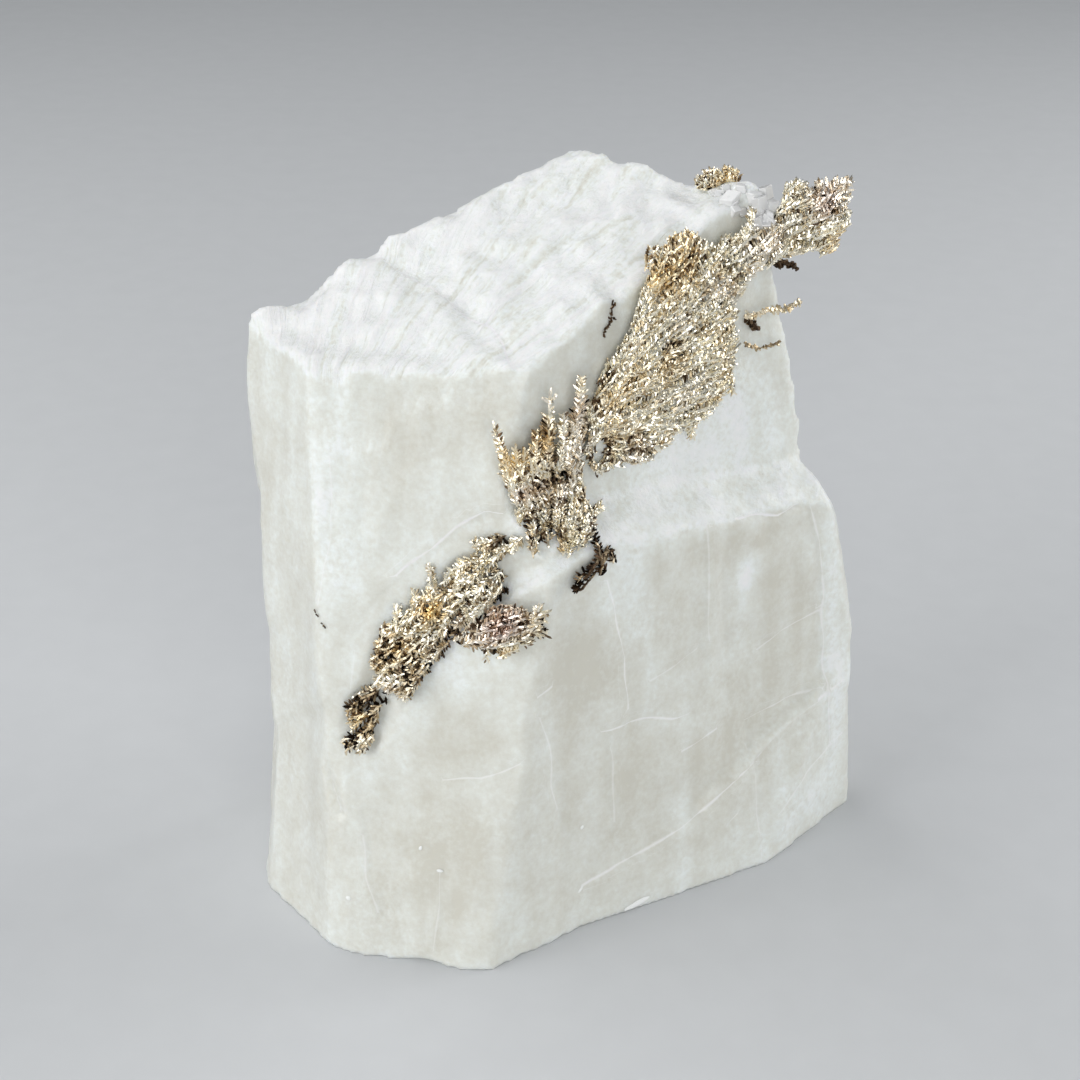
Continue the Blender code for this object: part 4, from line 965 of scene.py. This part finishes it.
def crystal_tree(material):
    """Geometry Nodes that set a faceted grain on every point, turned and sized as the point says."""
    tree = bpy.data.node_groups.new("silver grains", "GeometryNodeTree")
    inputs = {}
    tree.interface.new_socket("Points", in_out="INPUT", socket_type="NodeSocketGeometry")
    for label, value in GRAIN_FORM.items():
        kind = "NodeSocketFloat" if isinstance(value, float) else "NodeSocketInt"
        socket = tree.interface.new_socket(label, in_out="INPUT", socket_type=kind)
        inputs[label] = socket.identifier
    tree.interface.new_socket("Crystals", in_out="OUTPUT", socket_type="NodeSocketGeometry")
    given = add(tree, "NodeGroupInput").outputs

    told = {}
    for label in ("heading", "face", "length", "width"):
        kind = "FLOAT_VECTOR" if label in ("heading", "face") else "FLOAT"
        reader = add(tree, "GeometryNodeInputNamedAttribute", {"Name": label}, data_type=kind)
        told[label] = reader.outputs["Attribute"]
    lengthwise = add(tree, "FunctionNodeAlignRotationToVector", {"Vector": told["heading"]}, axis="X")
    flat = add(
        tree, "FunctionNodeAlignRotationToVector",
        {"Rotation": lengthwise.outputs["Rotation"], "Vector": told["face"]}, axis="Z", pivot_axis="X",
    )
    less = add(tree, "ShaderNodeMath", {0: given["Roll"], 1: -1.0}, operation="MULTIPLY")
    chance = add(
        tree, "FunctionNodeRandomValue",
        {"Min": less.outputs[0], "Max": given["Roll"], "Seed": given["Seed"]}, data_type="FLOAT",
    )
    # the node keeps one set of sockets for each data type, so the float one is picked by type
    roll_out = [s for s in chance.outputs if s.type == "VALUE" and s.enabled][0]
    roll = add(tree, "ShaderNodeCombineXYZ", {"X": roll_out})
    roll = add(tree, "FunctionNodeEulerToRotation", {"Euler": roll.outputs[0]})
    turned = add(
        tree, "FunctionNodeRotateRotation",
        {"Rotation": flat.outputs["Rotation"], "Rotate By": roll.outputs["Rotation"]},
        rotation_space="LOCAL",
    )
    grain = add(
        tree, "GeometryNodeMeshUVSphere",
        {"Segments": given["Sides"], "Rings": given["Rings"], "Radius": 0.5},
    )
    laid = add(
        tree, "GeometryNodeTransform",
        {"Geometry": grain.outputs["Mesh"], "Rotation": (0.0, math.pi / 2.0, 0.0)},
    )
    size = add(tree, "ShaderNodeCombineXYZ", {"X": told["length"], "Y": told["width"], "Z": told["width"]})
    placed = add(
        tree, "GeometryNodeInstanceOnPoints",
        {
            "Points": given["Points"], "Instance": laid.outputs["Geometry"],
            "Rotation": turned.outputs["Rotation"], "Scale": size.outputs[0],
        },
    )
    real = add(tree, "GeometryNodeRealizeInstances", {"Geometry": placed.outputs["Instances"]})
    faceted = add(
        tree, "GeometryNodeSetShadeSmooth", {"Geometry": real.outputs["Geometry"], "Shade Smooth": False}
    )
    dressed = add(
        tree, "GeometryNodeSetMaterial", {"Geometry": faceted.outputs["Geometry"], "Material": material}
    )
    add(tree, "NodeGroupOutput", {"Crystals": dressed.outputs["Geometry"]})
    return tree, inputs


def crystallise(name, rows, tree, inputs):
    """Turns a piece's grains into one mesh of crystals, in metres."""
    piece = new_object(name, grain_mesh(name, rows))
    modifier = piece.modifiers.new("crystals", "NODES")
    modifier.node_group = tree
    for label, value in GRAIN_FORM.items():
        modifier[inputs[label]] = value
    apply_modifiers(piece)
    to_metres(piece.data)
    return piece


# Thin twigs of silver: the points that each follows, its thickness and its tarnish.
TWIGS = {
    "silver_twig_middle": (
        ((14.3, 3.2, 41.9), (15.7, 4.1, 41.9), (16.9, 4.9, 41.7), (18.3, 5.9, 41.9)), 0.75, 0.15,
    ),
    "silver_twig_lower": (((14.3, 3.0, 39.9), (15.3, 3.6, 39.3), (16.9, 4.5, 39.4)), 0.5, 0.45),
}

# Bits of dark silver that stand apart: the points that each follows, its thickness, and whether it lies on
# the stone.
LOOSE_BITS = (
    (((16.3, 5.9, 44.8), (17.1, 6.4, 44.6), (18.0, 6.9, 44.0)), 0.8, False),
    (((14.5, 4.2, 41.3), (14.9, 4.4, 40.8), (15.3, 4.6, 40.3)), 0.8, False),
    (
        ((4.2, -2.4, 42.9), (4.4, -2.2, 43.4), (4.8, -2.1, 43.7), (4.7, -1.8, 44.3), (5.1, -1.6, 44.9)),
        0.35, True,
    ),
    (((4.6, -1.9, 43.9), (5.2, -1.7, 43.7)), 0.3, True),
    (((5.0, -1.6, 44.6), (4.7, -1.5, 45.0)), 0.3, True),
    (((-15.6, -7.4, 24.5), (-15.3, -7.6, 24.0)), 0.25, True),
    (((-15.0, -7.8, 23.7), (-14.8, -7.9, 23.4)), 0.25, True),
)
LOOSE_TARNISH = 0.75

# How far apart a twig's grains are, and the angle of its barbs and how far that strays, in degrees. Its
# barbs and stem grains are as long as these shares of its thickness, and as wide as these shares of their
# length.
TWIG_PITCH, TWIG_SPLAY, TWIG_STRAY = 0.12, 60.0, 20.0
TWIG_BARBS, TWIG_BARB_WIDTH, TWIG_STEMS, TWIG_STEM_WIDTH = (0.4, 1.0), 0.45, (0.5, 0.9), 0.55
TWIG_FACING = Vector((0.0, -0.87, 0.49))  # a twig's flat side, and the axis that its barbs turn about


def grow_twig(name, points, thickness, tarnish_and_shade):
    """A thin stem of grains with short barbs that stand out to every side."""
    rng, rows = random.Random(name), []
    route = [Vector(p) for p in points]
    for start, end in zip(route, route[1:]):
        steps = max(2, round((end - start).length / TWIG_PITCH))
        heading = (end - start).normalized()
        for i in range(steps):
            place = start.lerp(end, i / steps)
            splay = rng.choice((-TWIG_SPLAY, TWIG_SPLAY)) + rng.uniform(-TWIG_STRAY, TWIG_STRAY)
            barb = Matrix.Rotation(math.radians(splay), 3, TWIG_FACING) @ heading
            out = Vector([rng.uniform(-1.0, 1.0) for _ in range(3)]).normalized()
            size = thickness * rng.uniform(*TWIG_BARBS)
            width, shade = size * TWIG_BARB_WIDTH, tarnish_and_shade + rng.uniform(-0.2, 0.2)
            rows.append((*(place + out * 0.25 * thickness), *barb, *out, size, width, shade, 0.2))
            size = thickness * rng.uniform(*TWIG_STEMS)
            width, shade = size * TWIG_STEM_WIDTH, tarnish_and_shade + 0.1
            rows.append((*(place + out * 0.06), *heading, *TWIG_FACING, size, width, shade, 0.1))
    return rows


def grow_loose_bits(stone):
    """The grains of all the loose bits, those that lie on the stone brought down to it."""
    rows = []
    for number, (path, thickness, lies) in enumerate(LOOSE_BITS):
        if lies:
            seen = [stone.find_nearest(Vector(p)) for p in path]
            path = [place + normal * GAP for place, normal, _, _ in seen]
        rows += grow_twig("bit %d" % number, path, thickness, LOOSE_TARNISH)
    return rows


# --------------------------------------------------------------------------------------- the materials

def new_material(name):
    """A material, its node tree and its shader."""
    material = bpy.data.materials.new(name)
    material.use_nodes = True
    return material, material.node_tree, material.node_tree.nodes["Principled BSDF"]


def calcite_material():
    """Milky calcite, cleaved: waxy white stone that light soaks into, sugary where it broke unevenly. Its
    whiteness also holds painted light: a glow along its edges, more on its ledge, and a painted shadow under
    the ledge's lip.
    """
    material, tree, shader = new_material("milky calcite, cleaved")
    place = add(tree, "ShaderNodeTexCoord").outputs["Object"]
    told = {}
    for name in ("frost", "hackled", "milk_and_painted_light", "to_line", "line_white", "across_streaks", "along_streaks"):
        reader = add(tree, "ShaderNodeAttribute", attribute_name=name, attribute_type="GEOMETRY")
        told[name] = reader.outputs["Fac"]

    def more(total, texture, share, by=None):
        """Adds a noise to a total, by its share above or below one half, where another attribute has it."""
        part = add(tree, "ShaderNodeMath", {0: texture.outputs["Fac"], 1: 0.5}, operation="SUBTRACT")
        part = add(tree, "ShaderNodeMath", {0: part.outputs[0], 1: share}, operation="MULTIPLY")
        if by is not None:
            part = add(tree, "ShaderNodeMath", {0: part.outputs[0], 1: by}, operation="MULTIPLY")
        return add(tree, "ShaderNodeMath", {0: total, 1: part.outputs[0]}, operation="ADD").outputs[0]

    # a scale is in waves to a metre: clouds of 2 mm and less, and sugary specks of 0.4 mm; the hackles'
    # streaks, about 1 mm wide and 7 mm long, are in millimetres across and along their fan instead
    clouds = add(
        tree, "ShaderNodeTexNoise", {"Vector": place, "Scale": 420.0, "Detail": 8.0, "Roughness": 0.8}
    )
    specks = add(tree, "ShaderNodeTexNoise", {"Vector": place, "Scale": 2600.0, "Detail": 2.0})
    fan = add(tree, "ShaderNodeCombineXYZ", {"X": told["across_streaks"], "Y": told["along_streaks"]})
    fan = add(tree, "ShaderNodeMapping", {"Vector": fan.outputs[0], "Scale": (1.1, 0.14, 1.0)})
    streaks = add(
        tree, "ShaderNodeTexNoise",
        {"Vector": fan.outputs[0], "Scale": 1.0, "Detail": 4.0, "Roughness": 0.65, "Distortion": 0.6},
    )
    milky = more(told["milk_and_painted_light"], clouds, 1.5)
    milky = more(milky, specks, 0.6)
    milky = more(milky, specks, 0.8, told["frost"])
    # the streaks' lighter and darker bands are partly the stone's own streaking and partly painted shade of
    # the hackles' relief
    milky = more(milky, streaks, 3.6, told["hackled"])
    half = add(tree, "ShaderNodeMath", {0: milky, 1: 0.5}, operation="MULTIPLY")
    tint = add(tree, "ShaderNodeValToRGB", {"Fac": half.outputs[0]})
    tint.color_ramp.elements[0].position, tint.color_ramp.elements[0].color = 0.0, colour("#D9D7CC")
    tint.color_ramp.elements[1].position, tint.color_ramp.elements[1].color = 1.0, colour("#FFFFFF")
    tint.color_ramp.elements.new(0.25).color = colour("#E6E7E0")
    tint.color_ramp.elements.new(0.5).color = colour("#F4F9F6")

    # cracks and steps: a thin white line, about 0.03 to 0.13 mm to either side of its middle, wider the
    # whiter it is, that comes and goes
    broken = add(tree, "ShaderNodeTexNoise", {"Vector": place, "Scale": 500.0, "Detail": 3.0})
    width = add(
        tree, "ShaderNodeMapRange",
        {"Value": broken.outputs["Fac"], "From Min": 0.40, "From Max": 0.62, "To Min": 0.03, "To Max": 0.13},
    )
    wider = add(tree, "ShaderNodeMath", {0: told["line_white"], 1: 0.5}, operation="ADD")
    width = add(
        tree, "ShaderNodeMath", {0: width.outputs["Result"], 1: wider.outputs[0]}, operation="MULTIPLY"
    )
    aside = add(tree, "ShaderNodeMath", {0: told["to_line"]}, operation="ABSOLUTE")
    line = add(
        tree, "ShaderNodeMapRange",
        {"Value": aside.outputs[0], "From Max": width.outputs[0], "To Min": 1.0, "To Max": 0.0},
    )
    line = add(
        tree, "ShaderNodeMath", {0: line.outputs["Result"], 1: told["line_white"]}, operation="MULTIPLY"
    )
    white = add(
        tree, "ShaderNodeMix", {"Factor": line.outputs[0], 6: tint.outputs["Color"], 7: colour("#FFFFFF")},
        data_type="RGBA",
    )
    tree.links.new(white.outputs[2], shader.inputs["Base Color"])

    # the skin: pits of 0.5 and 1.5 mm and the streaks, rougher and duller where the stone is frosted
    grain = add(
        tree, "ShaderNodeTexNoise", {"Vector": place, "Scale": 2200.0, "Detail": 4.0, "Roughness": 0.7}
    )
    coarse = add(tree, "ShaderNodeTexNoise", {"Vector": place, "Scale": 700.0, "Detail": 3.0})
    rough = more(coarse.outputs["Fac"], grain, 1.0)
    rough = more(rough, streaks, 3.0, told["hackled"])
    strength = add(tree, "ShaderNodeMapRange", {"Value": told["frost"], "To Min": 0.30, "To Max": 0.9})
    bump = add(
        tree, "ShaderNodeBump",
        {"Height": rough, "Strength": strength.outputs["Result"], "Distance": 0.00012},
    )
    tree.links.new(bump.outputs["Normal"], shader.inputs["Normal"])
    gloss = add(tree, "ShaderNodeMapRange", {"Value": told["frost"], "To Min": 0.30, "To Max": 0.50})
    tree.links.new(gloss.outputs["Result"], shader.inputs["Roughness"])
    shader.inputs["IOR"].default_value = 1.58
    shader.inputs["Subsurface Weight"].default_value = 0.8
    shader.inputs["Subsurface Radius"].default_value = (1.0, 0.97, 0.90)
    shader.inputs["Subsurface Scale"].default_value = 0.00045
    return material


def crushed_calcite_material():
    """Calcite, chipped: bruised right through, so it's chalk white, with specks of 0.25 mm."""
    material, tree, shader = new_material("calcite, chipped")
    place = add(tree, "ShaderNodeTexCoord").outputs["Object"]
    powder = add(tree, "ShaderNodeTexNoise", {"Vector": place, "Scale": 4000.0, "Detail": 3.0})
    tint = add(tree, "ShaderNodeValToRGB", {"Fac": powder.outputs["Fac"]})
    tint.color_ramp.elements[0].color = colour("#F3F6F2")
    tint.color_ramp.elements[1].color = colour("#FFFFFF")
    tree.links.new(tint.outputs["Color"], shader.inputs["Base Color"])
    shader.inputs["Roughness"].default_value = 0.5
    return material


def clear_calcite_material():
    """Clear calcite, grown: glossy little rhombs, milky inside, duller in spots of about 1 mm."""
    material, tree, shader = new_material("clear calcite, grown")
    place = add(tree, "ShaderNodeTexCoord").outputs["Object"]
    spots = add(tree, "ShaderNodeTexNoise", {"Vector": place, "Scale": 900.0, "Detail": 3.0})
    rough = add(
        tree, "ShaderNodeMapRange",
        {"Value": spots.outputs["Fac"], "From Min": 0.35, "From Max": 0.7, "To Min": 0.04, "To Max": 0.25},
    )
    tree.links.new(rough.outputs["Result"], shader.inputs["Roughness"])
    shader.inputs["Base Color"].default_value = colour("#FFFFFF")
    shader.inputs["IOR"].default_value = 1.62
    shader.inputs["Transmission Weight"].default_value = 0.25
    return material


def silver_material():
    """Native silver, tarnished: bright little faces under a film, champagne, gold, pink or dark brown. The
    film's darker end also carries the painted shade in the gaps, furrows and hollows.
    """
    material, tree, shader = new_material("native silver, champagne tarnish")
    tarnish_and_shade = add(tree, "ShaderNodeAttribute", attribute_name="tarnish_and_shade", attribute_type="GEOMETRY")
    film = add(tree, "ShaderNodeValToRGB", {"Fac": tarnish_and_shade.outputs["Fac"]})
    ramp = film.color_ramp
    ramp.elements[0].position, ramp.elements[0].color = 0.0, colour("#FFFEF8")
    ramp.elements[1].position, ramp.elements[1].color = 1.0, colour("#1E1713")
    for position, code in ((0.25, "#F6EEDF"), (0.45, "#CDBFA6"), (0.68, "#6E5B4B")):
        ramp.elements.new(position).color = colour(code)
    yellow = add(tree, "ShaderNodeAttribute", attribute_name="yellow", attribute_type="GEOMETRY")
    hue = add(
        tree, "ShaderNodeMapRange", {"Value": yellow.outputs["Fac"], "From Min": -1.0, "From Max": 1.0}
    )
    tints = add(tree, "ShaderNodeValToRGB", {"Fac": hue.outputs["Result"]})
    ramp = tints.color_ramp
    ramp.elements[0].position, ramp.elements[0].color = 0.0, colour("#EBD6D0")
    ramp.elements[1].position, ramp.elements[1].color = 1.0, colour("#F0D296")
    ramp.elements.new(0.5).color = colour("#FFFBF0")
    film = add(
        tree, "ShaderNodeMix", {"Factor": 1.0, 6: film.outputs["Color"], 7: tints.outputs["Color"]},
        data_type="RGBA", blend_type="MULTIPLY",
    )
    tree.links.new(film.outputs[2], shader.inputs["Base Color"])
    dull = add(
        tree, "ShaderNodeMapRange", {"Value": tarnish_and_shade.outputs["Fac"], "To Min": 0.28, "To Max": 0.5}
    )
    tree.links.new(dull.outputs["Result"], shader.inputs["Roughness"])
    shader.inputs["Metallic"].default_value = 1.0
    return material


def floor_material():
    """Matt card: a plain pale surface, with fibres that show as clouds of 3 mm."""
    material, tree, shader = new_material("matt card")
    place = add(tree, "ShaderNodeTexCoord").outputs["Object"]
    fibres = add(tree, "ShaderNodeTexNoise", {"Vector": place, "Scale": 300.0, "Detail": 2.0})
    tint = add(tree, "ShaderNodeValToRGB", {"Fac": fibres.outputs["Fac"]})
    tint.color_ramp.elements[0].color = colour("#CDCFD1")
    tint.color_ramp.elements[1].color = colour("#D2D4D6")
    tree.links.new(tint.outputs["Color"], shader.inputs["Base Color"])
    shader.inputs["Roughness"].default_value = 0.85
    return material


# ---------------------------------------------------------------------------- floor, lights and camera

FLOOR_HALF = 1500.0
WORLD_COLOUR, WORLD_STRENGTH = "#C9CED2", 0.25
LIGHTS_AIM = Vector((0.0, 0.0, 26.0))

# The softboxes: where each hangs, its size, and its power in watts.
LIGHTS = {
    "key softbox": ((-150.0, 90.0, 330.0), 280.0, 0.54),
    "left softbox": ((-280.0, -170.0, 170.0), 240.0, 0.53),
    "right softbox": ((280.0, 90.0, 130.0), 220.0, 0.49),
    "front card": ((60.0, -330.0, 130.0), 260.0, 0.50),
}

# The camera looks down at a point in the block from this many degrees above the floor, from this far off.
CAMERA_AIM, CAMERA_ELEVATION, CAMERA_DISTANCE = Vector((0.0, 0.0, 26.0)), 29.0, 143.0
SENSOR_WIDTH, LENS = 36.0, 66.67


def make_stage():
    """A wide pale floor, with a dim even light from all around."""
    bm = bmesh.new()
    bmesh.ops.create_grid(bm, x_segments=1, y_segments=1, size=FLOOR_HALF * MM)
    mesh = bpy.data.meshes.new("floor")
    bm.to_mesh(mesh)
    bm.free()
    mesh.materials.append(floor_material())
    new_object("floor", mesh)
    world = bpy.data.worlds.new("studio")
    bpy.context.scene.world = world
    world.use_nodes = True
    background = world.node_tree.nodes["Background"]
    background.inputs["Color"].default_value = colour(WORLD_COLOUR)
    background.inputs["Strength"].default_value = WORLD_STRENGTH
    bpy.context.scene.view_settings.view_transform = "Standard"


def make_lights():
    """The softboxes, turned towards the block."""
    for name, (place, size, watts) in LIGHTS.items():
        lamp = bpy.data.lights.new(name, "AREA")
        lamp.size, lamp.energy = size * MM, watts
        light = new_object(name, lamp)
        light.location = Vector(place) * MM
        light.rotation_euler = (LIGHTS_AIM * MM - light.location).to_track_quat("-Z", "Y").to_euler()


def make_camera():
    """A camera level from side to side, straight in front of the block."""
    data = bpy.data.cameras.new("camera")
    data.sensor_width, data.lens = SENSOR_WIDTH, LENS
    data.clip_start = 5.0 * MM
    camera = new_object("camera", data)
    elevation = math.radians(CAMERA_ELEVATION)
    back = Vector((0.0, -math.cos(elevation), math.sin(elevation)))
    camera.location = (CAMERA_AIM + CENTRING) * MM + back * (CAMERA_DISTANCE * MM)
    camera.rotation_euler = (-back).to_track_quat("-Z", "Y").to_euler()
    bpy.context.scene.camera = camera


# -------------------------------------------------------------------------------------------- assembly

def dress(piece, slot, *nodes):
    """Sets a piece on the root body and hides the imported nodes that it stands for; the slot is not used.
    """
    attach(piece, "root")
    if nodes:
        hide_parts(*nodes)


def main():
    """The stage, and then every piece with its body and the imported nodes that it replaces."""
    make_camera()
    make_stage()
    make_lights()
    calcite, stone = make_calcite(calcite_material())
    dress(calcite, "calcite", "calcite_block")
    dress(make_clear_crystals(clear_calcite_material(), stone), "calcite")
    dress(make_chips(crushed_calcite_material(), stone), "calcite")
    tree, inputs = crystal_tree(silver_material())
    for name, shape in GROWTHS.items():
        slot = "tarnished_silver" if name == "silver_dark_leaf" else "native_silver"
        label = name.replace("silver_", "")
        rows = Growth(name, shape, stone).grow()
        dress(crystallise(label + "_crystals", rows, tree, inputs), slot, name)
        if not shape["clings"]:
            rows = Growth(name, shape, stone, back=True).grow()
            dress(crystallise(label + "_back_crystals", rows, tree, inputs), slot, name)
    for name, twig in TWIGS.items():
        label = name.replace("silver_", "")
        rows = grow_twig(name, *twig)
        dress(crystallise(label + "_crystals", rows, tree, inputs), "native_silver", name)
    dress(crystallise("loose_bits", grow_loose_bits(stone), tree, inputs), "tarnished_silver")


main()
